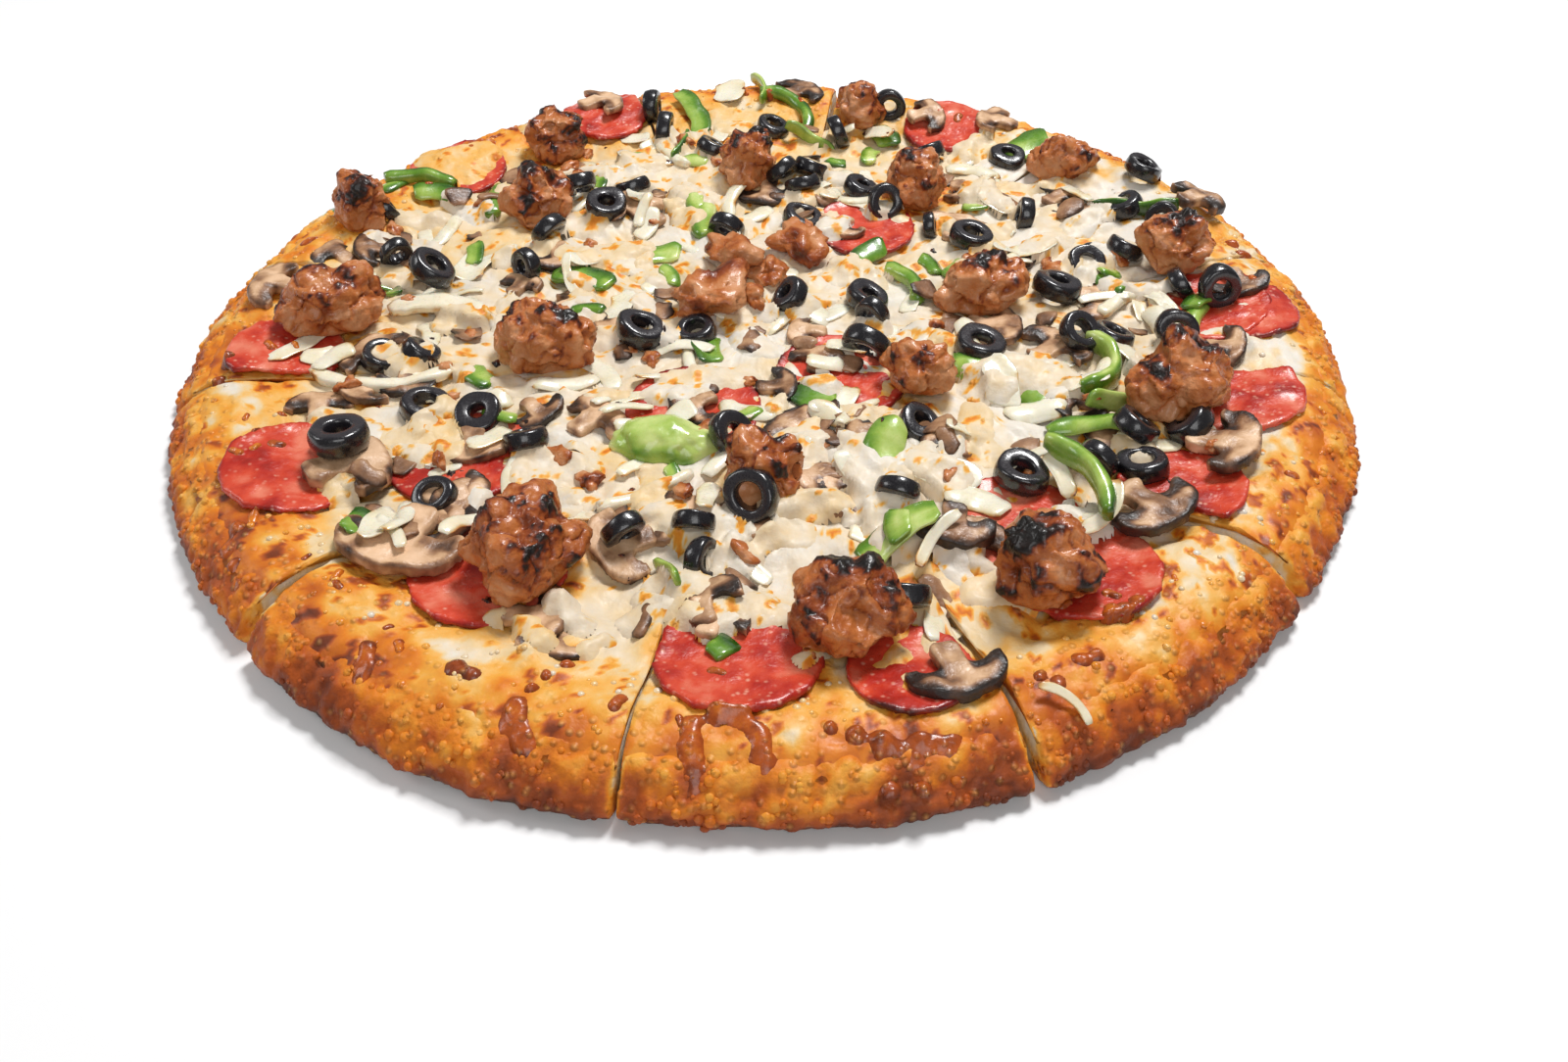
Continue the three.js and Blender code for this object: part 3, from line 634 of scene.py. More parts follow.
@dataclass(frozen=True)
class Finish:
    """A food's surface: a colour for each tone, its unevenness, gloss and fine relief."""

    name: str
    stops: tuple[tuple[float, Colour], ...]
    amount: float
    scale: float
    rough: Span
    coat: Coat
    bump: float
    bump_scale: float
    depth: float = 0.0004
    specular: float = 0.5
    scatter: float = 0.0
    scatter_radius: Colour = (0.004, 0.002, 0.001)
    spots: Spots | None = None

    def material(self) -> bpy.types.Material:
        """Makes the material once.

        Returns:
            The material, with its nodes.
        """
        name = f"{self.name} surface"
        if name in bpy.data.materials:
            return bpy.data.materials[name]
        material = bpy.data.materials.new(name)
        material.use_nodes = True
        tree = material.node_tree
        shader = tree.nodes["Principled BSDF"]
        place = new_node(tree, "TexCoord").outputs["Object"]
        tone = new_node(tree, "Attribute", attribute_name="tone").outputs["Fac"]
        unevenness = {"Amount": self.amount, "Scale": self.scale}
        uneven = new_node(tree, "Group", unevenness, node_tree=unevenness_group())
        ramp = new_node(tree, "ValToRGB")
        elements = ramp.color_ramp.elements
        while len(elements) < len(self.stops):
            elements.new(0.5)
        for element, (position, colour) in zip(elements, self.stops):
            element.position = position
            element.color = (*colour, 1.0)
        wire(
            tree,
            (place, uneven.inputs["Vector"]),
            (tone, uneven.inputs["Tone"]),
            (uneven.outputs["Tone"], ramp.inputs["Fac"]),
        )
        height = self._relief(tree, place, shader)
        painted = ramp.outputs["Color"]
        if self.spots:
            sizes = {"Scale": self.spots.scale, "Size": self.spots.size}
            spots = new_node(tree, "Group", sizes, node_tree=spots_group())
            mask = spots.outputs["Mask"]
            wire(
                tree,
                (place, spots.inputs["Vector"]),
                (uneven.outputs["Tone"], spots.inputs["Tone"]),
                (mask, height),
            )
            painted = self._spotted(tree, mask, painted)
        spread = {"From Min": 0.3, "From Max": 0.7, "To Min": self.rough[0], "To Max": self.rough[1]}
        gloss = new_node(tree, "MapRange", spread)
        wire(
            tree,
            (painted, shader.inputs["Base Color"]),
            (uneven.outputs["Fine"], gloss.inputs["Value"]),
            (gloss.outputs["Result"], shader.inputs["Roughness"]),
        )
        for socket, value in (
            ("Coat Weight", self.coat.value[0]),
            ("Coat Roughness", self.coat.value[1]),
            ("Specular IOR Level", self.specular),
            ("Subsurface Weight", self.scatter),
            ("Subsurface Radius", self.scatter_radius),
            ("Subsurface Scale", 1.0),
        ):
            shader.inputs[socket].default_value = value
        return material

    def _spotted(
        self, tree: bpy.types.NodeTree, mask: bpy.types.NodeSocket, colour: bpy.types.NodeSocket
    ) -> bpy.types.NodeSocket:
        """Mixes the spots' colour in.

        Args:
            tree: The material's nodes.
            mask: Where the spots are.
            colour: The colour between them.

        Returns:
            The mixed colour.
        """
        share = new_node(tree, "Math", {1: self.spots.share}, operation="MULTIPLY")
        mix = new_node(tree, "Mix", {"B": (*self.spots.colour, 1.0)}, data_type="RGBA")
        wire(
            tree,
            (mask, share.inputs[0]),
            (share.outputs[0], mix.inputs["Factor"]),
            (colour, mix.inputs["A"]),
        )
        return mix.outputs["Result"]

    def _relief(
        self, tree: bpy.types.NodeTree, place: bpy.types.NodeSocket, shader: bpy.types.Node
    ) -> bpy.types.NodeSocket:
        """Adds fine relief to the shader's normal.

        Args:
            tree: The material's nodes.
            place: Object coordinates.
            shader: The Principled shader.

        Returns:
            The socket that takes the height of the spots.
        """
        grain = new_node(tree, "TexNoise", {"Scale": self.bump_scale, "Detail": 4.0})
        bump = new_node(tree, "Bump", {"Strength": self.bump, "Distance": self.depth})
        lift = self.spots.lift if self.spots else 0.0
        added = new_node(tree, "Math", {0: 0.0, 1: lift}, operation="MULTIPLY_ADD")
        wire(
            tree,
            (place, grain.inputs["Vector"]),
            (grain.outputs[0], added.inputs[2]),
            (added.outputs[0], bump.inputs["Height"]),
            (bump.outputs["Normal"], shader.inputs["Normal"]),
        )
        return added.inputs[0]


BAKED = (
    (0.0, (0.73, 0.67, 0.58)), (0.12, (0.74, 0.54, 0.28)), (0.17, (0.78, 0.43, 0.11)),
    (0.23, (0.77, 0.35, 0.045)), (0.36, (0.69, 0.2, 0.01)), (0.52, (0.44, 0.085, 0.009)),
    (0.7, (0.2, 0.036, 0.007)), (1.0, (0.05, 0.014, 0.006)),
)
# The spots of the cheese, the browned cheese and the dough are small blisters, raised in the bump and painted
# paler on top as a painted highlight.
CHEESE = Finish(
    "cheese", BAKED, amount=0.2, scale=120.0, rough=(0.4, 0.62), coat=Coat.MOIST, bump=0.6, bump_scale=420.0,
    depth=0.0006, specular=0.34, scatter=0.04, spots=Spots((0.88, 0.52, 0.18), 380.0, 0.45, 0.4, 2.2),
)
BROWNED = replace(
    CHEESE, name="browned cheese", amount=0.45, scale=260.0, rough=(0.24, 0.42), coat=Coat.OILY, specular=0.4,
    scatter=0.0, spots=Spots((0.84, 0.4, 0.12), 420.0, 0.45, 0.35, 2.0),
)
DOUGH = Finish(
    "dough", BAKED, amount=0.26, scale=150.0, rough=(0.42, 0.66), coat=Coat.MOIST, bump=0.7, bump_scale=600.0,
    depth=0.0007, specular=0.28, spots=Spots((0.82, 0.4, 0.12), 380.0, 0.45, 0.4, 2.2),
)
SAUSAGE = Finish(
    "sausage",
    (
        (0.0, (0.6, 0.27, 0.12)), (0.22, (0.48, 0.145, 0.034)), (0.46, (0.26, 0.05, 0.009)),
        (0.66, (0.1, 0.016, 0.004)), (0.82, (0.024, 0.007, 0.004)), (1.0, (0.006, 0.004, 0.003)),
    ),
    amount=0.55, scale=300.0, rough=(0.28, 0.52), coat=Coat.OILY, bump=0.9, bump_scale=620.0, depth=0.0006,
    specular=0.3,
)
PEPPERONI = Finish(
    "pepperoni",
    (
        (0.0, (0.74, 0.2, 0.12)), (0.28, (0.63, 0.065, 0.028)), (0.55, (0.44, 0.022, 0.012)),
        (0.85, (0.2, 0.01, 0.006)), (1.0, (0.07, 0.008, 0.005)),
    ),
    amount=0.62, scale=110.0, rough=(0.24, 0.46), coat=Coat.OILY, bump=0.6, bump_scale=800.0, specular=0.35,
    spots=Spots((0.8, 0.4, 0.28), 430.0, 0.34, 0.7, 0.3),
)
MUSHROOM = Finish(
    "mushroom",
    (
        (0.0, (0.76, 0.5, 0.31)), (0.28, (0.55, 0.33, 0.18)), (0.5, (0.3, 0.15, 0.075)),
        (0.75, (0.1, 0.045, 0.022)), (1.0, (0.02, 0.012, 0.009)),
    ),
    amount=0.5, scale=240.0, rough=(0.28, 0.55), coat=Coat.MOIST, bump=0.6, bump_scale=1000.0,
)
OLIVE = Finish(
    "olive",
    ((0.0, (0.006, 0.005, 0.007)), (0.5, (0.018, 0.016, 0.02)), (1.0, (0.06, 0.05, 0.054))),
    amount=0.35, scale=300.0, rough=(0.18, 0.4), coat=Coat.WET, bump=0.25, bump_scale=900.0,
)
PEPPER = Finish(
    "pepper",
    (
        (0.0, (0.66, 0.74, 0.28)), (0.3, (0.36, 0.51, 0.09)), (0.6, (0.12, 0.27, 0.02)),
        (1.0, (0.02, 0.08, 0.005)),
    ),
    amount=0.34, scale=140.0, rough=(0.2, 0.4), coat=Coat.WET, bump=0.3, bump_scale=600.0, scatter=0.06,
)
ONION = Finish(
    "onion",
    (
        (0.0, (0.86, 0.79, 0.63)), (0.4, (0.78, 0.66, 0.43)), (0.62, (0.62, 0.33, 0.1)),
        (0.82, (0.3, 0.11, 0.03)), (1.0, (0.1, 0.04, 0.02)),
    ),
    amount=0.45, scale=150.0, rough=(0.2, 0.42), coat=Coat.WET, bump=0.3, bump_scale=700.0, scatter=0.15,
)


def places(mesh: bpy.types.Mesh) -> Points:
    """The vertices of a mesh, in mm."""
    flat = np.empty(3 * len(mesh.vertices), np.float32)
    mesh.vertices.foreach_get("co", flat)
    return flat.reshape(-1, 3).astype(float) / MM


def normals(mesh: bpy.types.Mesh) -> Points:
    """The directions of a mesh's vertices."""
    flat = np.empty(3 * len(mesh.vertices), np.float32)
    mesh.vertex_normals.foreach_get("vector", flat)
    return flat.reshape(-1, 3).astype(float)


def put(mesh: bpy.types.Mesh, points: Points) -> None:
    """Moves the vertices of a mesh to places in mm."""
    mesh.vertices.foreach_set("co", (points * MM).astype(np.float32).ravel())
    mesh.update()


def mesh_of(form: bmesh.types.BMesh, scale: float = MM) -> bpy.types.Mesh:
    """Turns a bmesh into a mesh with faces pointing out.

    Args:
        form: The bmesh, which is freed.
        scale: Metres for each of its units.

    Returns:
        The mesh.
    """
    bmesh.ops.recalc_face_normals(form, faces=form.faces)
    bmesh.ops.scale(form, vec=(scale, scale, scale), verts=form.verts)
    mesh = bpy.data.meshes.new("part")
    form.to_mesh(mesh)
    form.free()
    return mesh


def applied(mesh: bpy.types.Mesh, kind: str, **settings: float | str | bpy.types.Object) -> bpy.types.Mesh:
    """Runs one modifier on a mesh.

    Args:
        mesh: The mesh, which is removed.
        kind: The modifier's type.
        **settings: Its properties.

    Returns:
        The new mesh.
    """
    carrier = bpy.data.objects.new("carrier", mesh)
    bpy.context.collection.objects.link(carrier)
    modifier = carrier.modifiers.new(kind, kind)
    for key, value in settings.items():
        setattr(modifier, key, value)
    graph = bpy.context.evaluated_depsgraph_get()
    made = bpy.data.meshes.new_from_object(carrier.evaluated_get(graph))
    bpy.data.objects.remove(carrier)
    bpy.data.meshes.remove(mesh)
    return made


def remeshed(mesh: bpy.types.Mesh, voxel: float) -> bpy.types.Mesh:
    """An even copy of a mesh, which is removed, with faces of a size in mm."""
    return applied(mesh, "REMESH", mode="VOXEL", voxel_size=voxel * MM)


def lathe(profile: list[Span], steps: int, closed: bool) -> bmesh.types.BMesh:
    """Turns a profile about the Z axis.

    Args:
        profile: Radius and height of each station, in mm.
        steps: How many sides the form has.
        closed: Whether the last station joins the first.

    Returns:
        The bmesh.
    """
    form = bmesh.new()
    ring = [form.verts.new((radius, 0.0, height)) for radius, height in profile]
    following = ring[1:] + ring[:1] if closed else ring[1:]
    edges = [form.edges.new(pair) for pair in zip(ring, following)]
    bmesh.ops.spin(
        form, geom=ring + edges, cent=(0, 0, 0), axis=(0, 0, 1), angle=2 * math.pi, steps=steps,
        use_merge=True,
    )
    bmesh.ops.remove_doubles(form, verts=form.verts, dist=1e-4)
    return form


def blister(place: Points, out: Points, size: float) -> bpy.types.Mesh:
    """A small round blister on a surface.

    Args:
        place: Where it stands, in mm.
        out: The direction away from the surface.
        size: Its radius in mm.

    Returns:
        The mesh.
    """
    form = bmesh.new()
    bmesh.ops.create_uvsphere(form, u_segments=7, v_segments=5, radius=1.0)
    mesh = mesh_of(form)
    upright = Vector(out).to_track_quat("Z", "Y").to_matrix()
    put(mesh, rotated(places(mesh) * size * np.array([1.0, 1.0, 0.75]), upright) + place)
    return mesh


def node_mesh(node: str, voxel: float) -> bpy.types.Mesh:
    """An even, fine copy of a node's mesh.

    Args:
        node: The node's name.
        voxel: Size of its faces in mm.

    Returns:
        The new mesh.
    """
    form = bmesh.new()
    form.from_mesh(bpy.data.objects[node].data)
    bmesh.ops.remove_doubles(form, verts=form.verts, dist=1e-6)
    return remeshed(mesh_of(form, 1.0), voxel)


Formed = tuple[bpy.types.Mesh, Points, Points]
Piece = Ring | Slice | Strip


class Maker(Protocol):
    """What makes a topping's form, and how deep a loose one sinks into what it lies on, in mm."""

    pressed: float

    def form_of(self, piece: Piece, number: int) -> Formed:
        """The mesh, its points round the origin, and their tones.

        Args:
            piece: The piece.
            number: Picks its pattern.

        Returns:
            The mesh, its points round the origin, and their tones.
        """


@dataclass
class Heap:
    """All the pieces of one kind, joined in one mesh with a tone for each vertex."""

    name: str
    finish: Finish
    slot: str
    form: bmesh.types.BMesh = field(default_factory=bmesh.new)
    tones: list[Points] = field(default_factory=list)

    def add(self, mesh: bpy.types.Mesh, tone: Points) -> None:
        """Joins a mesh, which is removed, with the tones of its vertices."""
        self.form.from_mesh(mesh)
        self.tones.append(np.clip(tone, 0.0, 1.0))
        bpy.data.meshes.remove(mesh)

    def add_blister(self, place: Points, out: Points, size: float, tone: float) -> None:
        """Joins a small round blister.

        Args:
            place: Where it stands on the surface, in mm.
            out: The direction away from the surface.
            size: Its radius in mm.
            tone: Its tone.
        """
        made = blister(place - 0.25 * size * out, out, size)
        self.add(made, np.full(len(made.vertices), tone))

    def tree(self) -> BVHTree:
        """A tree of what the heap holds, in metres."""
        return BVHTree.FromBMesh(self.form)

    def finish_up(self, nodes: tuple[str, ...] = ()) -> None:
        """Makes the object, dressed and riding on the body.

        Args:
            nodes: The solids that it stands for.
        """
        mesh = bpy.data.meshes.new(self.name)
        self.form.to_mesh(mesh)
        self.form.free()
        layer = mesh.attributes.new("tone", "FLOAT", "POINT")
        layer.data.foreach_set("value", np.concatenate(self.tones).astype(np.float32))
        mesh.polygons.foreach_set("use_smooth", [True] * len(mesh.polygons))
        mesh.materials.append(self.finish.material())
        piece = bpy.data.objects.new(self.name, mesh)
        bpy.context.collection.objects.link(piece)
        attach(piece, BODY)
        if nodes:
            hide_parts(*nodes)
        log.info("%s: %d faces", self.name, len(mesh.polygons))


def named(kind: str) -> tuple[str, ...]:
    """The nodes of a kind, in order."""
    return tuple(sorted(name for name in frame["nodes"] if name.rsplit("_", 1)[0] == kind))


def middles(kind: str, share: float) -> Circles:
    """Middle in plan and reach, in mm, of each node of a kind.

    Args:
        kind: The nodes' kind.
        share: Reach as a share of half the box's diagonal.

    Returns:
        x, y and reach for each.
    """
    found = []
    for node in named(kind):
        low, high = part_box(node)
        middle = (low + high) / 2 / MM
        found.append((middle.x, middle.y, (high - low).xy.length / MM / 2 * share))
    return tuple(found)


def cut_distance(points: Points) -> Points:
    """Distance of each point from the middle of the nearest cut, in mm.

    Args:
        points: Places in mm.

    Returns:
        One distance for each point.
    """
    best = np.full(len(points), 1e9)
    for angle, _ in CUTS:
        along = np.array([math.cos(math.radians(angle)), math.sin(math.radians(angle))])
        ahead = points[:, :2] @ along
        aside = np.abs(points[:, 0] * along[1] - points[:, 1] * along[0])
        best = np.minimum(best, np.where(ahead > 0, aside, 1e9))
    return best


def half_opening(points: Points) -> Points:
    """Half the width of the nearest cut at each point, in mm.

    Args:
        points: Places in mm.

    Returns:
        One half width for each point.
    """
    turn = np.degrees(np.arctan2(points[:, 1], points[:, 0])) % 360
    angles = np.array([angle for angle, _ in CUTS])
    away = np.abs((turn[:, None] - angles[None, :] + 180) % 360 - 180)
    openings = np.array([opening for _, opening in CUTS])[away.argmin(axis=1)]
    return (KNIFE_WIDTH + openings * radius_of(points) / PIZZA_RADIUS) / 2


@dataclass
class Dough:
    """The twelve slices of crust under the cheese."""

    voxel: float = 1.2
    blisters: int = 90
    seed: int = 41

    def build(self) -> None:
        """Roughens and browns a fine copy of each slice, paints light and shade on the lumps of its rim, and
        sets small blisters on its rim.
        """
        draw = np.random.default_rng(self.seed)
        for node in named("dough"):
            heap = Heap(node.replace("dough", "crust"), DOUGH, "dough")
            mesh = node_mesh(node, self.voxel)
            points, out = places(mesh), normals(mesh)
            radius = radius_of(points)
            inside = cut_distance(points) - half_opening(points)
            rim = ease(radius, 162, 168) * ease(inside, 0.3, 2.5) * ease(points[:, 2], 0.6, 3.0)
            lumps = 0.9 * fractal(points, 10, 3, 1)
            lumps += 0.8 * bubbles(points, 4.6, 2) + 0.9 * bubbles(points, 2.8, 5)
            raised = rim * (lumps - 0.8) + 0.12 * fractal(points, 3, 2, 3)
            moved = points + out * raised[:, None]
            moved[:, 2] += 1.0 * ease(radius, 163, 168) * ease(points[:, 2], 8.5, 10.5)
            put(mesh, moved)
            face = 1 - ease(inside, 0.2, 1.6)
            height = points[:, 2]
            # Painted light and shade: the raised lumps of the rim are made paler and the hollows between them
            # darker.
            tone = 0.06 + baked(points) - 0.1 * (lumps - 0.8) * rim + 0.4 * (1 - ease(height, 1.0, 7.0))
            crumb = 0.08 + 0.2 * fractal(points, 4, 3, 4) + 0.45 * (1 - ease(height, 0.4, 2.0))
            crumb += 0.3 * ease(radius, 168, 176)
            tone = tone * (1 - face) + crumb * face
            heap.add(mesh, tone)
            rough = np.flatnonzero((rim > 0.95) & (radius > 168) & (fractal(points, 14, 2, 21) > -0.15))
            # Painted highlight: each blister is made a little paler than the crust under it.
            for index in draw.choice(rough, self.blisters):
                heap.add_blister(moved[index], out[index], draw.uniform(0.5, 1.4), tone[index] - 0.04)
            heap.finish_up((node,))


@dataclass
class Cheese:
    """The melted layer, with its browned rim, lumps and open cuts."""

    base: Base
    around: int = 760
    spacing: float = 1.9
    rim_spacing: float = 1.1
    cut_reach: float = 200.0
    cut_height: float = 60.0
    cut_spread: float = 1.1
    bedded: Circles = ()
    oily: Circles = ()

    def _rows(self) -> list[Span]:
        """The profile from the middle of the underside round the edge to the middle of the top, in mm.

        Returns:
            Radius and height of each station.
        """
        under = [(r, z + GAP) for r, z in self.base.TOP]
        rim = np.arange(CHEESE_EDGE_RADIUS - 0.4, 144.0, -self.rim_spacing)
        stations = np.concatenate([rim, np.arange(rim[-1] - self.spacing, 1.0, -self.spacing)])
        over = list(zip(stations, self.base.cheese(stations)))
        top = float(self.base.cheese(np.zeros(1))[0])
        return [(0.0, DOUGH_FLOOR + GAP), *under, *over, (0.0, top)]

    def build(self) -> bpy.types.Mesh:
        """Turns the profile, raises its relief and opens the cuts.

        Returns:
            The mesh.
        """
        mesh = mesh_of(lathe(self._rows(), self.around, closed=False))
        points = places(mesh)
        radius = radius_of(points)
        top = points[:, 2] > self.base.cheese(radius) - 0.4
        points[:, 2] += np.where(top, self.relief(points), 0.0)
        put(mesh, self.base.wave(points))
        knife = self._slots()
        made = applied(mesh, "BOOLEAN", operation="DIFFERENCE", solver="MANIFOLD", object=knife)
        bpy.data.objects.remove(knife)
        return made

    def relief(self, points: Points) -> Points:
        """Height of lumps, films and the fillets round what is bedded in the cheese.

        Args:
            points: Places in mm.

        Returns:
            One height for each point, in mm.
        """
        radius = radius_of(points)
        flat = flattened(points)
        inner = 1 - ease(radius, 142, 158)
        lumps = 1.9 * fractal(flat, 15, 3, 5) + 0.7 * fractal(flat, 4.5, 3, 6) + 1.1 * bubbles(flat, 9, 3)
        froth = 0.6 * fractal(flat, 10, 3, 7) + 0.5 * bubbles(flat, 5.2, 8) + 0.5 * bubbles(flat, 3.0, 4)
        height = inner * (lumps - 0.3) + (1 - inner) * (froth - 0.4)
        for x, y, reach in self.bedded:
            away = np.hypot(points[:, 0] - x, points[:, 1] - y) - reach
            near = np.abs(away) < 7
            height[near] += 0.9 * np.exp(-((away[near] / 2.4) ** 2))
        return height * ease(CHEESE_EDGE_RADIUS - radius, 0, 4) - 0.9 * ease(radius, 165, CHEESE_EDGE_RADIUS)

    def _slots(self) -> bpy.types.Object:
        """One object that holds the open end of every cut.

        Returns:
            The object, which the caller removes.
        """
        form = bmesh.new()
        for angle, opening in CUTS:
            near = (KNIFE_WIDTH + opening * RESEALED_RADIUS / PIZZA_RADIUS) / 2
            far = (KNIFE_WIDTH + opening * self.cut_spread) / 2
            made = bmesh.ops.create_cube(form, size=1.0)["verts"]
            for vert in made:
                end = vert.co.x > 0
                reach, half = (self.cut_reach, far) if end else (RESEALED_RADIUS - 6, near)
                vert.co = Vector((reach, 2 * half * vert.co.y, self.cut_height * vert.co.z))
            turn = Matrix.Rotation(math.radians(angle), 3, "Z")
            bmesh.ops.rotate(form, verts=made, cent=(0, 0, 0), matrix=turn)
        knife = bpy.data.objects.new("knife", mesh_of(form))
        bpy.context.collection.objects.link(knife)
        return knife

    def tone(self, points: Points) -> Points:
        """How browned the cheese is at each point, with the painted shade that baked() puts on the rim's
        front.

        Args:
            points: Places in mm.

        Returns:
            One tone for each point.
        """
        flat = flattened(points)
        wide, small = fractal(flat, 34, 3, 9), fractal(flat, 5, 3, 10)
        tone = 0.05 + 0.08 * wide + 0.04 * fractal(flat, 11, 2, 15) + baked(points)
        spots = ease(small + 0.4 * wide, 0.36, 0.6) * 0.34
        for x, y, reach in self.oily:
            away = np.hypot(points[:, 0] - x, points[:, 1] - y) - reach
            tone += 0.12 * np.exp(-((np.maximum(away, 0) / 4) ** 2)) * (0.6 + small)
        return tone + spots


@dataclass
class Chunks:
    """The browned nuggets of sausage."""

    voxel: float = 0.7

    def build(self) -> None:
        """Breaks up the surface of a fine copy of each chunk."""
        heap = Heap("sausage_chunks", SAUSAGE, "sausage")
        for number, node in enumerate(named("sausage")):
            mesh = node_mesh(node, self.voxel)
            points, out = places(mesh), normals(mesh)
            low, high = points[:, 2].min(), points[:, 2].max()
            share = (points[:, 2] - low) / (high - low)
            lobes, small = bubbles(points, 11.0, number + 0.5), bubbles(points, 3.6, number + 0.9)
            lump, ridge = fractal(points, 13.0, 2, number), fractal(points, 4.0, 3, number + 0.3)
            grain = fractal(points, 1.7, 2, number + 0.2)
            fold = 1 - ease(np.abs(fractal(points, 10.0, 2, number + 0.7)), 0.0, 0.1)
            depth = 3.4 * lobes + 0.3 * small + 0.3 * grain + 2.4 * lump + 1.0 * ridge - 0.9 * fold - 2.3
            put(mesh, points + out * (depth * ease(share, 0.0, 0.18))[:, None])
            patchy = fractal(points, 9, 2, number + 40)
            charred = ease(0.6 * ridge + 0.25 * grain + 0.6 * patchy + 0.4 * lobes + 0.7 * share, 0.82, 1.22)
            # The chunks towards the front of the pizza are made darker.
            charred += 0.2 * ease(-points[:, 1], 60, 110)
            # Painted shade: the folds, pressed in above, and the hollows between the small bumps on the upper
            # part are made darker.
            tone = 0.07 + 0.16 * share + 0.3 * patchy + 0.22 * fold
            tone += 0.12 * (1 - small) * share + 0.5 * charred
            heap.add(mesh, tone)
        heap.finish_up(named("sausage"))


@dataclass
class Pepperoni:
    """The discs of pepperoni, those with solids and those that hide under other pieces."""

    base: Base
    voxel: float = 0.78
    extra: tuple[Disc, ...] = LOOSE_PEPPERONI

    def build(self) -> Heap:
        """Roughens a fine copy of each disc and lays the others on the cheese.

        Returns:
            The heap, unfinished.
        """
        heap = Heap("pepperoni_discs", PEPPERONI, "pepperoni")
        for number, node in enumerate(named("pepperoni")):
            mesh = node_mesh(node, self.voxel)
            self._dress(heap, mesh, number)
        for number, disc in enumerate(self.extra, HIDDEN_DISCS):
            form = bmesh.new()
            bmesh.ops.create_circle(form, cap_ends=True, segments=40, radius=disc.radius)
            bmesh.ops.inset_region(form, faces=form.faces[:], thickness=disc.radius / 3)
            bmesh.ops.solidify(form, geom=form.faces[:], thickness=PEPPERONI_THICKNESS)
            mesh = remeshed(mesh_of(form), self.voxel)
            points = places(mesh) * np.array([1.0, 1.0, 0.8]) + np.array([disc.x, disc.y, 0.0])
            bottom = points[:, 2].min()
            radius = radius_of(points)
            lift = self.base.cheese(radius) + 0.1 - bottom
            ground = flattened(points) + np.array([0.0, 0.0, 2.0])
            lift += self.base.wave(ground)[:, 2] - 2.0
            points[:, 2] += lift
            put(mesh, points)
            self._dress(heap, mesh, number)
        return heap

    def _dress(self, heap: Heap, mesh: bpy.types.Mesh, number: int) -> None:
        """Curls the edge of one disc a little, wrinkles it and colours it.

        Args:
            heap: Where it goes.
            mesh: The disc.
            number: Picks its pattern.
        """
        points, out = places(mesh), normals(mesh)
        middle = (points.min(axis=0) + points.max(axis=0)) / 2
        away = np.hypot(*(points - middle)[:, :2].T)
        reach = away.max()
        curl = ease(away, 0.72 * reach, reach)
        wrinkle = fractal(points, 6, 3, number + 60)
        points = points + out * (0.42 * wrinkle)[:, None]
        points[:, 2] += curl * (0.35 + 0.8 * fractal(points, 16, 2, number + 80))
        put(mesh, points)
        mottled = 0.3 * wrinkle + 0.3 * fractal(points, 15, 2, number + 90)
        heap.add(mesh, 0.33 + mottled + 0.4 * ease(away, 0.9 * reach, reach))


def outline(width: float) -> list[Span]:
    """The outline of a mushroom slice, its cap's dome towards +X.

    Args:
        width: The cap's width.

    Returns:
        Points round it, counter-clockwise.
    """
    turns = np.linspace(0.05, math.pi - 0.05, 19)
    dome = [(0.34 * math.sin(t) ** 0.8, -0.5 * math.cos(t)) for t in turns]
    lip = [(-0.09, 0.5), (-0.13, 0.44), (-0.12, 0.36), (-0.05, 0.28), (-0.05, 0.2)]
    stem = [(-0.09, 0.13), (-0.2, 0.14), (-0.32, 0.16), (-0.39, 0.09)]
    right = [*lip, *stem]
    left = [(x, -y) for x, y in reversed(right)]
    return [(width * x, width * y) for x, y in (*dome, *right, *left)]


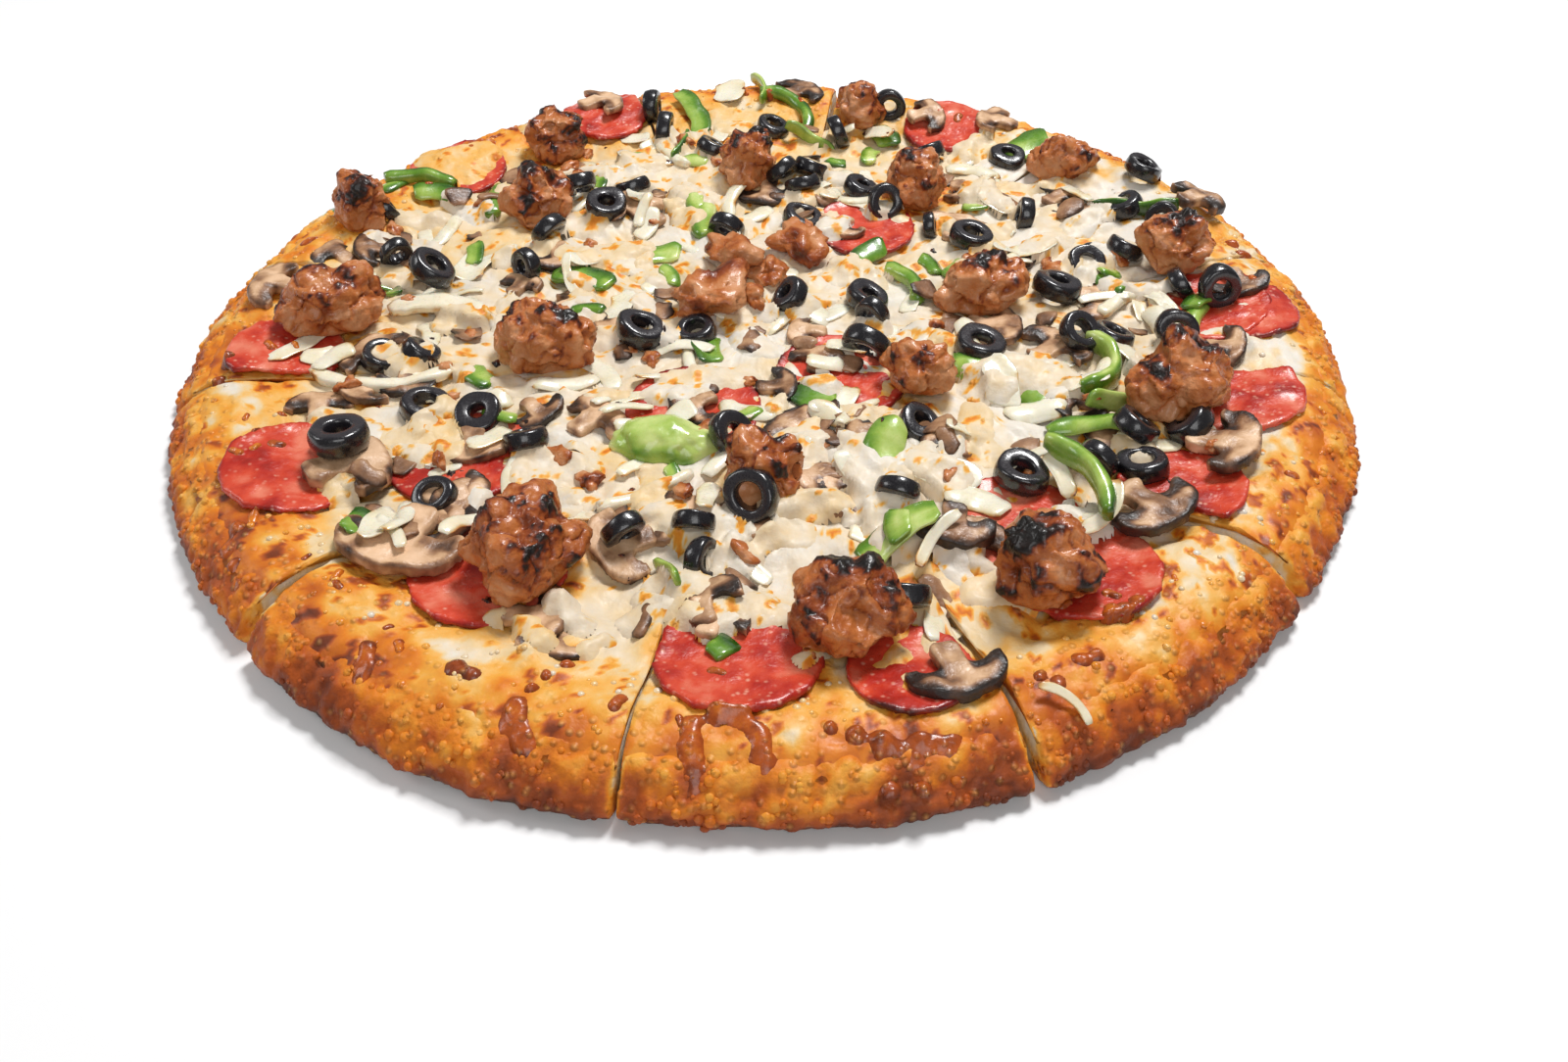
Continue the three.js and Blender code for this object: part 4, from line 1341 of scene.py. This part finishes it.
@dataclass
class Mushrooms:
    """Slices through cap and stem, with dark gills and a brown rim."""

    thickness: float = 2.8
    voxel: float = 0.8
    pressed: float = 0.8

    def shape(self, piece: Slice) -> bpy.types.Mesh:
        """One slice round the origin.

        Args:
            piece: The slice.

        Returns:
            Its mesh.
        """
        form = bmesh.new()
        face = form.faces.new([form.verts.new((x, y, 0.0)) for x, y in outline(piece.width)])
        made = bmesh.ops.extrude_face_region(form, geom=[face])["geom"]
        lifted = [item for item in made if isinstance(item, bmesh.types.BMVert)]
        bmesh.ops.translate(form, verts=lifted, vec=(0, 0, self.thickness))
        return remeshed(mesh_of(form), self.voxel)

    def colour(self, local: Points, width: float, number: int) -> Points:
        """Tone of a slice's points, from their place in the slice.

        Args:
            local: Points round the origin, in mm.
            width: Width of the cap.
            number: Picks its pattern.

        Returns:
            One tone for each point.
        """
        a, b = local[:, 0] / width, np.abs(local[:, 1]) / width
        edge = np.hypot(a / 0.34, b / 0.5)
        gills = ease(a, -0.17, -0.08) * (1 - ease(a, 0.02, 0.12))
        gills *= ease(b, 0.12, 0.17) * (1 - ease(b, 0.42, 0.49))
        age = math.sin(0.63 * number + 4.08)
        skin = ease(edge, 0.8 - 0.08 * age, 0.97) * (a > -0.08)
        tone = 0.32 + 0.17 * age + 0.5 * fractal(local, 7, 3, number)
        return tone + (0.62 + 0.12 * age) * gills + (0.54 + 0.12 * age) * skin + 0.3 * ease(-a, 0.3, 0.4)

    def form_of(self, piece: Slice, number: int) -> Formed:
        """A slice with its relief: the mesh, its points round the origin, and their tones.

        Args:
            piece: The slice.
            number: Picks its pattern.

        Returns:
            The mesh, its points round the origin, and their tones.
        """
        mesh = self.shape(piece)
        local, out = places(mesh), normals(mesh)
        tone = self.colour(local, piece.width, number)
        relief = 0.28 * fractal(local, 4, 3, number + 5) - 0.35 * ease(tone, 0.5, 0.8)
        local = local + out * relief[:, None]
        curl = (local[:, 0] ** 2 + local[:, 1] ** 2) / piece.width**2
        local[:, 2] += self.thickness * 0.6 * curl * math.sin(2.3 * number)
        local[:, 2] += 1.3 * fractal(flattened(local), 9, 2, number + 13)
        return mesh, local, tone


@dataclass
class Olives:
    """Sliced black olives."""

    around: int = 30
    pressed: float = 2.2

    def form_of(self, piece: Ring, number: int) -> Formed:
        """A ring round the origin: the mesh, its points, and their tones.

        Args:
            piece: The ring.
            number: Picks its pattern.

        Returns:
            The mesh, its points round the origin, and their tones.
        """
        outer, half = piece.size / 2, 0.19 * piece.size
        inner = (0.42 + 0.1 * math.sin(3.1 * number)) * outer
        corners = [(inner, -half), (outer * 0.96, -half), (outer, 0.0), (outer * 0.93, half), (inner, half)]
        form = lathe(corners, self.around, closed=True)
        sharp = [e for e in form.edges if abs(e.verts[0].co.z - e.verts[1].co.z) < 1e-4
                 and abs(e.verts[0].co.xy.length - e.verts[1].co.xy.length) < 1e-3]
        bmesh.ops.bevel(
            form, geom=sharp, offset=0.055 * piece.size, segments=2, profile=0.5, affect="EDGES", material=-1,
        )
        mesh = mesh_of(form)
        local = places(mesh)
        away = radius_of(local)
        cut = ease(np.abs(local[:, 2]), 0.72 * half, 0.95 * half) * ease(away, inner, inner + 1)
        cut *= 1 - ease(away, outer - 1.6, outer - 0.6)
        tone = 0.1 + 0.55 * cut + 0.3 * (1 - ease(away, inner, inner + 0.8))
        oval = 1 + 0.06 * math.sin(1.7 * number)
        local = local * np.array([oval, 2 - oval, 1.0])
        local = rotated(local, Matrix.Rotation(math.radians(47.0 * number), 3, "Z"))
        bend = 0.5 * fractal(local, 9, 2, number + 3)
        local[:, 2] += bend + 0.9 * math.sin(1.3 * number) * (local[:, 0] / outer) ** 2
        local[:, :2] *= (1 + 0.05 * fractal(local, 5, 2, number + 9))[:, None]
        return mesh, rotated(local, Matrix.Rotation(math.radians(piece.tilt), 3, "X")), tone


@dataclass
class Crumbs:
    """Small bits of sausage and charred specks."""

    pressed: float = 0.8

    def form_of(self, piece: Ring, number: int) -> Formed:
        """A crumb round the origin: the mesh, its points, and their tones.

        Args:
            piece: The crumb.
            number: Picks its pattern.

        Returns:
            The mesh, its points round the origin, and their tones.
        """
        form = bmesh.new()
        bmesh.ops.create_icosphere(form, subdivisions=4 if piece.size > 9 else 3, radius=1.0)
        mesh = mesh_of(form)
        local = places(mesh) * piece.size / 2
        local *= np.array([1.0, 0.75 + 0.2 * math.sin(number), 0.5])
        local *= (1 + 0.75 * fractal(local, 0.45 * piece.size, 4, number))[:, None]
        charred = 0.6 if piece.size < 3 else 0.0
        return mesh, local, 0.18 + charred + 0.6 * fractal(local, 0.6 * piece.size, 3, number + 5)


@dataclass
class Strips:
    """Bent strips of green pepper or onion."""

    onion: bool = False
    pressed: float = 0.6

    def thinned(self, piece: Strip) -> Strip:
        """A loose piece with a thin wall, flat or on its edge.

        Args:
            piece: The strip as it is placed.

        Returns:
            The strip as it is made.
        """
        if self.onion:
            return replace(piece, width=1.4 * piece.width, height=0.9)
        if piece.height >= 0.9 * piece.width:
            return replace(piece, width=2.1, height=piece.height + 0.5)
        return replace(piece, width=1.25 * piece.width, height=2.0)

    def form_of(self, piece: Strip, number: int) -> Formed:
        """A strip round the origin: the mesh, its points, and their tones.

        Args:
            piece: The strip.
            number: Picks its pattern.

        Returns:
            The mesh, its points round the origin, and their tones.
        """
        form = bmesh.new()
        bmesh.ops.create_circle(form, cap_ends=True, segments=12, radius=1.0)
        for vert in form.verts:
            x, y = vert.co.x, vert.co.y
            stretch = 1 / max(abs(x), abs(y)) ** 0.55
            out = piece.bend + x * stretch * piece.width / 2
            vert.co = Vector((out, 0.0, y * stretch * piece.height / 2))
        half = math.radians(piece.sweep) / 2
        steps = max(10, int(piece.bend * 2 * half / 1.1))
        bmesh.ops.rotate(form, verts=form.verts, cent=(0, 0, 0), matrix=Matrix.Rotation(-half, 3, "Z"))
        bmesh.ops.spin(
            form, geom=form.faces[:], cent=(0, 0, 0), axis=(0, 0, 1), angle=2 * half, steps=steps,
        )
        bmesh.ops.holes_fill(form, edges=form.edges[:], sides=0)
        mesh = mesh_of(form)
        local = places(mesh)
        turn = np.arctan2(local[:, 1], local[:, 0])
        away = radius_of(local)
        across = (away - piece.bend) / (piece.width / 2)
        end = ease(np.abs(turn) / half, 0.72, 1.0)
        taper = 1 - (0.4 if self.onion else 0.3) * end * end
        wobble = 0.16 * piece.width * fractal(local, 11, 2, number)
        away = piece.bend + (away - piece.bend) * taper + wobble
        sway = 1.3 * fractal(flattened(local), 12, 2, number + 7)
        hollow = 0.13 * piece.width * across * across * (piece.height < piece.width)
        height = local[:, 2] * taper + sway + hollow * math.cos(1.9 * number)
        tone = self._tone(across, local, end, number)
        local = np.stack([away * np.cos(turn) - piece.bend, away * np.sin(turn), height], axis=1)
        return mesh, local, tone

    def _tone(self, across: Points, local: Points, end: Points, number: int) -> Points:
        """Skin on a pepper's outer side, or the browned rim of an onion.

        Args:
            across: Place across it, from -1 to 1.
            local: Points round the origin, in mm.
            end: How near the ends each point is.
            number: Picks its pattern.

        Returns:
            One tone for each point.
        """
        patchy = fractal(local, 8, 3, number + 11)
        if self.onion:
            edge = ease(np.abs(across), 0.7, 1.0) * ease(patchy, -0.2, 0.5)
            return 0.12 + 0.28 * patchy + 0.4 * end * ease(patchy, 0.1, 0.5) + 0.35 * edge
        return 0.24 + 0.16 * (number % 3) + 0.45 * ease(across, 0.2, 0.7) + 0.3 * patchy


@dataclass
class Stack:
    """What the small loose pieces are dropped on, and the steepest lean that they take."""

    trees: list[BVHTree]
    steepest: float = 0.45

    def height(self, x: float, y: float) -> float:
        """Height in mm of the topmost surface at a place.

        Args:
            x: Place in mm.
            y: Place in mm.

        Returns:
            The height, 0 where nothing is.
        """
        best = 0.0
        for tree in self.trees:
            hit = tree.ray_cast(Vector((x * MM, y * MM, 0.1)), Vector((0, 0, -1)))[0]
            if hit is not None:
                best = max(best, hit.z / MM)
        return best

    def drop(self, local: Points, x: float, y: float, turn: float, reach: float, sink: float) -> Points:
        """Lays a shape on what is under it, tilted to suit.

        Args:
            local: Places round the origin, in mm.
            x: Place of its middle.
            y: Place of its middle.
            turn: Its turn about Z in degrees.
            reach: Radius over which the ground is felt.
            sink: How far it is pressed in.

        Returns:
            The moved places.
        """
        ring = [(math.cos(t), math.sin(t)) for t in np.linspace(0, 2 * math.pi, 8, endpoint=False)]
        spots = np.array([(0.0, 0.0), *((0.75 * reach * c, 0.75 * reach * s) for c, s in ring)])
        felt = np.array([self.height(x + dx, y + dy) for dx, dy in spots])
        plane = np.c_[spots, np.ones(len(spots))]
        lean_x, lean_y, level = np.linalg.lstsq(plane, felt, rcond=None)[0]
        steep = math.hypot(lean_x, lean_y)
        if steep > self.steepest:
            lean_x, lean_y = self.steepest * lean_x / steep, self.steepest * lean_y / steep
        up = Vector((-lean_x, -lean_y, 1.0)).normalized()
        turned = up.to_track_quat("Z", "Y").to_matrix() @ Matrix.Rotation(math.radians(turn), 3, "Z")
        moved = rotated(local, turned)
        under = np.percentile(moved[:, 2], 4)
        return moved + np.array([x, y, level - under - sink])


@dataclass
class Melts:
    """Lumps, films and drips of melted cheese over other pieces."""

    stack: Stack
    base: Base
    climb: float = 4.6
    dip: float = 2.5
    step: float = 0.9
    edge: float = 0.37
    passes: int = 12

    def mesh(self, melt: Melt, number: int) -> tuple[bpy.types.Mesh, Points]:
        """A melt that follows what lies under it.

        Args:
            melt: Its spots, thickness and tone.
            number: Picks its pattern.

        Returns:
            The mesh and the tone of its points.
        """
        spots = np.array(melt.spots, float)
        low = (spots[:, :2] - 1.7 * spots[:, 2:]).min(axis=0)
        high = (spots[:, :2] + 1.7 * spots[:, 2:]).max(axis=0)
        step = min(self.step, 0.28 * spots[:, 2].min())
        cells = np.ceil((high - low) / step).astype(int)
        form = bmesh.new()
        bmesh.ops.create_grid(form, x_segments=int(cells[0]), y_segments=int(cells[1]), size=1.0)
        grid = np.array([vert.co[:2] for vert in form.verts])
        flat = np.c_[low + (grid + 1) / 2 * (high - low), np.zeros(len(grid))]
        reach = self._reach(flat, spots, number)
        ground = np.array([self.stack.height(x, y) for x, y, _ in flat])
        level = self.base.cheese(radius_of(flat))
        ground = np.clip(ground, level - self.dip, level + self.climb)
        dome = np.clip((reach - self.edge) / (1 - self.edge), 0, 1) ** 0.7
        sheet = self._taut(ground, len(np.unique(np.round(grid[:, 0], 5))))
        sheet = ground + (sheet - ground) * ease(dome, 0.1, 0.7)
        rough = 1 + 0.5 * fractal(flat, 5, 3, number + 3)
        flat[:, 2] = np.where(reach < self.edge, ground - 0.5, sheet + melt.thick * dome * rough - 0.2)
        for vert, place in zip(form.verts, flat):
            vert.co = Vector(place)
        outside = reach < 0.2
        lost = [vert for vert, gone in zip(form.verts, outside) if gone]
        bmesh.ops.delete(form, geom=lost, context="VERTS")
        freckles = ease(fractal(flat, 5, 3, number + 9), 0.3, 0.6)
        browned = 0.05 + 0.14 * (1 - dome) + 0.16 * freckles
        tone = melt.tone + (0.26 * freckles if melt.tone < 0.3 else browned)
        return mesh_of(form), tone[~outside]

    def _reach(self, flat: Points, spots: Points, number: int) -> Points:
        """How strongly the spots reach each point, the value of edge at the rim of a single spot.

        Args:
            flat: Points of the sheet.
            spots: Middle and radius of each spot.
            number: Picks its pattern.

        Returns:
            One value for each point.
        """
        bend = 0.22 * spots[:, 2].mean()
        east = flat[:, 0] + bend * fractal(flat, 6, 2, number)
        north = flat[:, 1] + bend * fractal(flat, 6, 2, number + 31)
        total = np.zeros(len(flat))
        for x, y, radius in spots:
            total += np.clip(1 - ((east - x) ** 2 + (north - y) ** 2) / (1.6 * radius) ** 2, 0, 1) ** 2
        return total

    def _taut(self, ground: Points, row: int) -> Points:
        """A sheet stretched over the ground, given row by row.

        Args:
            ground: Height of the ground at each point.
            row: How many points a row has.

        Returns:
            Height of the sheet at each point.
        """
        floor = ground.reshape(-1, row)
        sheet = floor
        for _ in range(self.passes):
            padded = np.pad(sheet, 1, mode="edge")
            soft = (padded[:-2, 1:-1] + padded[2:, 1:-1] + padded[1:-1, :-2] + padded[1:-1, 2:]) / 4
            sheet = np.maximum(0.4 * sheet + 0.6 * soft, floor)
        return sheet.ravel()


@dataclass(frozen=True)
class Lot:
    """Places at random: how many, the seed, and the least and greatest distance from the middle."""

    count: int
    seed: int
    radii: Span = (0.0, 138.0)

    def generator(self) -> np.random.Generator:
        """The generator of its places and of the sizes that go with them."""
        return np.random.default_rng(self.seed)

    def spots(self, draw: np.random.Generator, clear: Circles = ()) -> list[Span]:
        """Places that are even over the area.

        Args:
            draw: The generator.
            clear: Circles that they keep out of, as x, y and radius.

        Returns:
            x and y of each.
        """
        inner, outer = self.radii[0] ** 2, self.radii[1] ** 2
        found: list[Span] = []
        while len(found) < self.count:
            angle, radius = draw.uniform(0, 2 * math.pi), math.sqrt(draw.uniform(inner, outer))
            x, y = radius * math.cos(angle), radius * math.sin(angle)
            if all(math.hypot(x - cx, y - cy) >= reach for cx, cy, reach in clear):
                found.append((x, y))
        return found


@dataclass(frozen=True)
class Bits:
    """Bits that lie at random: their lot, ranges of size, and how much darker than a whole piece they are."""

    lot: Lot
    bend: Span
    length: Span
    width: Span
    height: Span
    darker: float = 0.0


SHREDS = Bits(Lot(104, 7), (9.0, 30.0), (7.0, 21.0), (3.0, 8.0), (0.7, 1.0))
DICE = Bits(Lot(16, 3), (7.0, 18.0), (5.0, 13.0), (3.5, 8.0), (1.6, 2.2))
SCRAPS = Bits(Lot(60, 5), (6.0, 14.0), (5.0, 12.0), (4.0, 9.0), (0.9, 1.5), 0.42)
SMALL_SLICES = Lot(34, 23, (0.0, 132.0))
CRUMBS = Lot(130, 29, (0.0, 140.0))
LUMPS = Lot(120, 13, (0.0, 136.0))
RIM_BLISTERS = Lot(46, 17, (142.0, 166.0))
RIM_BUBBLES = Lot(420, 37, (146.0, 168.0))


@dataclass
class Pizza:
    """The whole pizza: dough, cheese and every topping."""

    base: Base = field(default_factory=Base)

    def build(self) -> None:
        """Builds the pieces from the dough up."""
        Dough().build()
        Chunks().build()
        cheese = Heap("melted_cheese", CHEESE, "cheese")
        oily = middles("sausage", 0.62) + middles("pepperoni", 0.7)
        layer = Cheese(self.base, bedded=self._bedded(), oily=oily)
        mesh = layer.build()
        cheese.add(mesh, layer.tone(places(mesh)))
        discs = Pepperoni(self.base).build()
        stack = Stack([cheese.tree(), discs.tree()])
        mushrooms = Heap("mushroom_slices", MUSHROOM, "mushroom")
        self._lay(mushrooms, Mushrooms(MUSHROOM_THICKNESS), NODE_MUSHROOMS, 0.0)
        self._lay(mushrooms, Mushrooms(FUSED_MUSHROOM_THICKNESS), FUSED_MUSHROOMS, SINK)
        self._drop(mushrooms, Mushrooms(), (*LOOSE_MUSHROOMS, *self._slices(SMALL_SLICES)), stack)
        stack.trees.append(mushrooms.tree())
        peppers, onions = Heap("pepper_strips", PEPPER, "pepper"), Heap("onion_strips", ONION, "onion")
        green, white = Strips(), Strips(onion=True, pressed=0.3)
        self._lay(peppers, green, NODE_PEPPERS, 0.0)
        self._lay(peppers, green, FUSED_PEPPERS, SINK)
        self._lay(onions, white, NODE_ONIONS, 0.0)
        self._lay(onions, white, FUSED_ONIONS, SINK)
        self._drop(peppers, green, tuple(green.thinned(piece) for piece in LOOSE_PEPPERS), stack)
        stack.trees.append(peppers.tree())
        self._drop(onions, white, tuple(white.thinned(piece) for piece in LOOSE_ONIONS), stack)
        self._scatter(DICE, peppers, green, stack)
        self._scatter(SCRAPS, mushrooms, white, stack)
        self._scatter(SHREDS, onions, white, stack)
        stack.trees.append(onions.tree())
        crumbs = Heap("sausage_crumbs", SAUSAGE, "sausage")
        self._drop(crumbs, Crumbs(), (*MIDDLE_CRUMBS, *self._crumbs(CRUMBS)), stack)
        olives = Heap("olive_rings", OLIVE, "olive")
        self._lay(olives, Olives(), NODE_OLIVES, 0.0)
        self._lay(olives, Olives(), FUSED_OLIVES, SINK)
        self._drop(olives, Olives(), LOOSE_OLIVES, stack)
        self._shell(peppers)
        stack.trees.append(olives.tree())
        melts = Melts(stack, self.base)
        films, drips = Heap("cheese_films", CHEESE, "cheese"), Heap("cheese_drips", BROWNED, "cheese")
        for number, melt in enumerate((*DRAPES, *self._lumps(LUMPS))):
            films.add(*melts.mesh(melt, number))
        for number, melt in enumerate((*DRIPS, *self._blisters(RIM_BLISTERS)), RIM_DRIPS):
            drips.add(*melts.mesh(melt, number))
        self._bubbles(RIM_BUBBLES, drips, Stack([cheese.tree()]))
        for heap, kind in (
            (cheese, "cheese"), (films, ""), (drips, ""), (crumbs, ""), (discs, "pepperoni"),
            (mushrooms, "mushroom"), (peppers, "pepper"), (onions, "onion"), (olives, "olive"),
        ):
            heap.finish_up(named(kind))

    def _bedded(self) -> Circles:
        """Middle and reach of everything that the cheese climbs a little.

        Returns:
            The circles.
        """
        pieces = (
            *NODE_MUSHROOMS, *NODE_OLIVES, *FUSED_OLIVES, *FUSED_MUSHROOMS, *LOOSE_OLIVES, *LOOSE_MUSHROOMS,
        )
        found = [(piece.x, piece.y, piece.reach) for piece in pieces]
        return tuple(found) + middles("sausage", 0.62)

    def _lumps(self, lot: Lot) -> tuple[Melt, ...]:
        """Small lumps of melted cheese at random between the toppings.

        Args:
            lot: How many, and where.

        Returns:
            The lumps.
        """
        draw = lot.generator()
        clear = middles("sausage", 0.75) + middles("pepperoni", 0.5)
        found = []
        for x, y in lot.spots(draw, clear):
            spots, way = [], draw.uniform(0, 2 * math.pi)
            for _ in range(int(draw.integers(2, 5))):
                size = draw.uniform(2.5, 6.5)
                spots.append((x, y, size))
                way += draw.uniform(-0.8, 0.8)
                x, y = x + 1.2 * size * math.cos(way), y + 1.2 * size * math.sin(way)
            found.append(Melt(tuple(spots), draw.uniform(0.8, 1.6), draw.uniform(0.01, 0.1)))
        return tuple(found)

    def _blisters(self, lot: Lot) -> tuple[Melt, ...]:
        """Small browned blisters of cheese at random on the rim.

        Args:
            lot: How many, and where.

        Returns:
            The blisters.
        """
        draw = lot.generator()
        found = []
        for x, y in lot.spots(draw):
            size, way = draw.uniform(0.9, 2.1), draw.uniform(0, 2 * math.pi)
            second = (x + 1.4 * size * math.cos(way), y + 1.4 * size * math.sin(way), 0.8 * size)
            found.append(Melt(((x, y, size), second), 0.6 * size, draw.uniform(0.32, 0.52)))
        return tuple(found)

    def _bubbles(self, lot: Lot, heap: Heap, stack: Stack) -> None:
        """Small round bubbles in the cheese of the rim.

        Args:
            lot: How many, and where.
            heap: Where they go.
            stack: The cheese.
        """
        draw = lot.generator()
        spots = [spot for spot in lot.spots(draw) if stack.height(*spot) > 8]
        points = np.array([(x, y, stack.height(x, y)) for x, y in spots])
        tones = 0.02 + baked(points)
        for point, tone in zip(points, tones):
            heap.add_blister(point, np.array([0.0, 0.0, 1.0]), draw.uniform(0.5, 1.3), tone)

    def _lay(self, heap: Heap, maker: Maker, pieces: tuple[Piece, ...], sink: float) -> None:
        """Places the pieces that have a solid, where that solid lies.

        Args:
            heap: Where they go.
            maker: What makes their forms.
            pieces: The pieces.
            sink: How deep they are pressed in.
        """
        for number, piece in enumerate(pieces):
            mesh, local, tone = maker.form_of(piece, number + int(10 * sink))
            put(mesh, self.base.settle(local, piece.x, piece.y, piece.turn, piece.level, sink))
            heap.add(mesh, tone)

    def _drop(self, heap: Heap, maker: Maker, pieces: tuple[Piece, ...], stack: Stack) -> None:
        """Drops loose pieces on what is already there.

        Args:
            heap: Where they go.
            maker: What makes their forms.
            pieces: The pieces.
            stack: What they fall on.
        """
        for number, piece in enumerate(pieces, LOOSE_PIECES):
            mesh, local, tone = maker.form_of(piece, number)
            put(mesh, stack.drop(local, piece.x, piece.y, piece.turn, piece.reach, maker.pressed))
            heap.add(mesh, tone)

    def _scatter(self, bits: Bits, heap: Heap, maker: Strips, stack: Stack) -> None:
        """Strews small bits over the topped part, clear of the sausage.

        Args:
            bits: How many, where, and their ranges of size.
            heap: Where they go.
            maker: What makes them.
            stack: What they fall on.
        """
        draw = bits.lot.generator()
        for number, (x, y) in enumerate(bits.lot.spots(draw, middles("sausage", 0.75)), SMALL_BITS):
            bend, length = draw.uniform(*bits.bend), draw.uniform(*bits.length)
            sweep = min(150.0, math.degrees(length / bend))
            width, height = draw.uniform(*bits.width), draw.uniform(*bits.height)
            piece = Strip(x, y, bend, width, height, sweep, draw.uniform(0, 360))
            mesh, local, tone = maker.form_of(piece, number)
            put(mesh, stack.drop(local, x, y, piece.turn, 0.4 * length, 0.35 * height))
            heap.add(mesh, tone + bits.darker)

    def _slices(self, lot: Lot) -> tuple[Slice, ...]:
        """Small mushroom slices at random between the named ones.

        Args:
            lot: How many, and where.

        Returns:
            The slices.
        """
        draw = lot.generator()
        spots = lot.spots(draw, middles("sausage", 0.8) + middles("pepperoni", 0.6))
        return tuple(Slice(x, y, draw.uniform(17, 26), draw.uniform(0, 360)) for x, y in spots)

    def _crumbs(self, lot: Lot) -> tuple[Ring, ...]:
        """Specks at random, and crumbs of sausage among them.

        Args:
            lot: How many, and where.

        Returns:
            The crumbs.
        """
        draw = lot.generator()
        spots = lot.spots(draw, middles("sausage", 0.6))
        crumb, speck = (3.5, 8.0), (1.0, 2.4)
        sizes = (draw.uniform(*(speck if number % 3 else crumb)) for number in range(lot.count))
        return tuple(Ring(x, y, size, 0.0, draw.uniform(0, 360)) for (x, y), size in zip(spots, sizes))

    def _shell(self, heap: Heap) -> None:
        """The wide green pepper that bulges like a shell.

        Args:
            heap: Where it goes.
        """
        form = bmesh.new()
        bmesh.ops.create_icosphere(form, subdivisions=5, radius=1.0)
        mesh = mesh_of(form)
        local = places(mesh)
        flat = np.where(local[:, 2] < -0.15, -0.15, local[:, 2])
        size = np.array([PEPPER_SHELL.width / 2, PEPPER_SHELL.depth / 2, PEPPER_SHELL.thick])
        local = np.stack([local[:, 0], local[:, 1], flat], axis=1) * size
        local *= (1 + 0.14 * fractal(local, 9, 3, 3))[:, None]
        tone = 0.14 + 0.3 * fractal(local, 9, 3, 8) + 0.45 * ease(np.abs(local[:, 1]), 5.5, 8)
        put(mesh, self.base.settle(local, PEPPER_SHELL.x, PEPPER_SHELL.y, PEPPER_SHELL.turn, 0, SINK))
        heap.add(mesh, tone)


@dataclass(frozen=True)
class Lamp:
    """A soft area light: place, size and power."""

    name: str
    place: tuple[float, float, float]
    size: float
    power: float


@dataclass
class Studio:
    """The pale floor, the lights and the camera."""

    lamps: tuple[Lamp, ...] = (
        Lamp("key", (0.35, 0.55, 1.3), 0.4, 21.0),
        Lamp("front", (0.1, -1.1, 0.9), 0.8, 5.5),
        Lamp("side", (-1.2, 0.2, 0.8), 0.5, 3.5),
    )
    elevation: float = 36.096
    distance: float = 0.43677
    focal_pixels: float = 1400.0
    centre_pixels: tuple[float, float] = (776.98, 361.78)
    roll: float = -0.017
    frame_pixels: tuple[float, float] = (1600.0, 1084.0)
    sensor: float = 36.0
    floor_size: float = 6.0
    floor_grey: float = 0.86
    floor_roughness: float = 0.8
    sky_strength: float = 0.18

    def build(self) -> None:
        """Makes the floor, the lights, the sky and the camera."""
        form = bmesh.new()
        bmesh.ops.create_grid(form, x_segments=1, y_segments=1, size=self.floor_size)
        mesh = mesh_of(form, 1.0)
        floor = bpy.data.objects.new("floor", mesh)
        material = bpy.data.materials.new("floor")
        material.use_nodes = True
        shader = material.node_tree.nodes["Principled BSDF"]
        shader.inputs["Base Color"].default_value = (*[self.floor_grey] * 3, 1.0)
        shader.inputs["Roughness"].default_value = self.floor_roughness
        mesh.materials.append(material)
        bpy.context.collection.objects.link(floor)
        for lamp in self.lamps:
            self._light(lamp)
        world = bpy.data.worlds.new("studio")
        world.use_nodes = True
        sky = world.node_tree.nodes["Background"]
        sky.inputs["Color"].default_value = (1.0, 1.0, 1.0, 1.0)
        sky.inputs["Strength"].default_value = self.sky_strength
        bpy.context.scene.world = world
        bpy.context.scene.view_settings.view_transform = "Standard"
        self._camera()

    def _light(self, lamp: Lamp) -> None:
        """Makes one area light that points at the pizza.

        Args:
            lamp: The light.
        """
        data = bpy.data.lights.new(lamp.name, "AREA")
        data.size, data.energy = lamp.size, lamp.power
        light = bpy.data.objects.new(lamp.name, data)
        light.location = lamp.place
        light.rotation_euler = (-Vector(lamp.place)).to_track_quat("-Z", "Y").to_euler()
        bpy.context.collection.objects.link(light)

    def _camera(self) -> None:
        """Makes the camera at the photograph's place."""
        data = bpy.data.cameras.new("camera")
        width, height = self.frame_pixels
        data.sensor_fit, data.sensor_width = "HORIZONTAL", self.sensor
        data.lens = self.focal_pixels / width * self.sensor
        data.shift_x = (width / 2 - self.centre_pixels[0]) / width
        data.shift_y = (self.centre_pixels[1] - height / 2) / width
        data.clip_start = 0.01
        camera = bpy.data.objects.new("camera", data)
        lift = math.radians(self.elevation)
        back = Vector((0.0, -math.cos(lift), math.sin(lift)))
        camera.location = back * self.distance
        upright = back.to_track_quat("Z", "Y").to_matrix()
        camera.rotation_euler = (upright @ Matrix.Rotation(self.roll, 3, "Z")).to_euler()
        bpy.context.collection.objects.link(camera)
        bpy.context.scene.camera = camera


def main() -> None:
    """Builds the studio and the pizza."""
    logging.basicConfig(level=logging.INFO, format="%(name)s %(message)s")
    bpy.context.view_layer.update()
    Studio().build()
    Pizza().build()


if __name__ == "__main__":
    main()
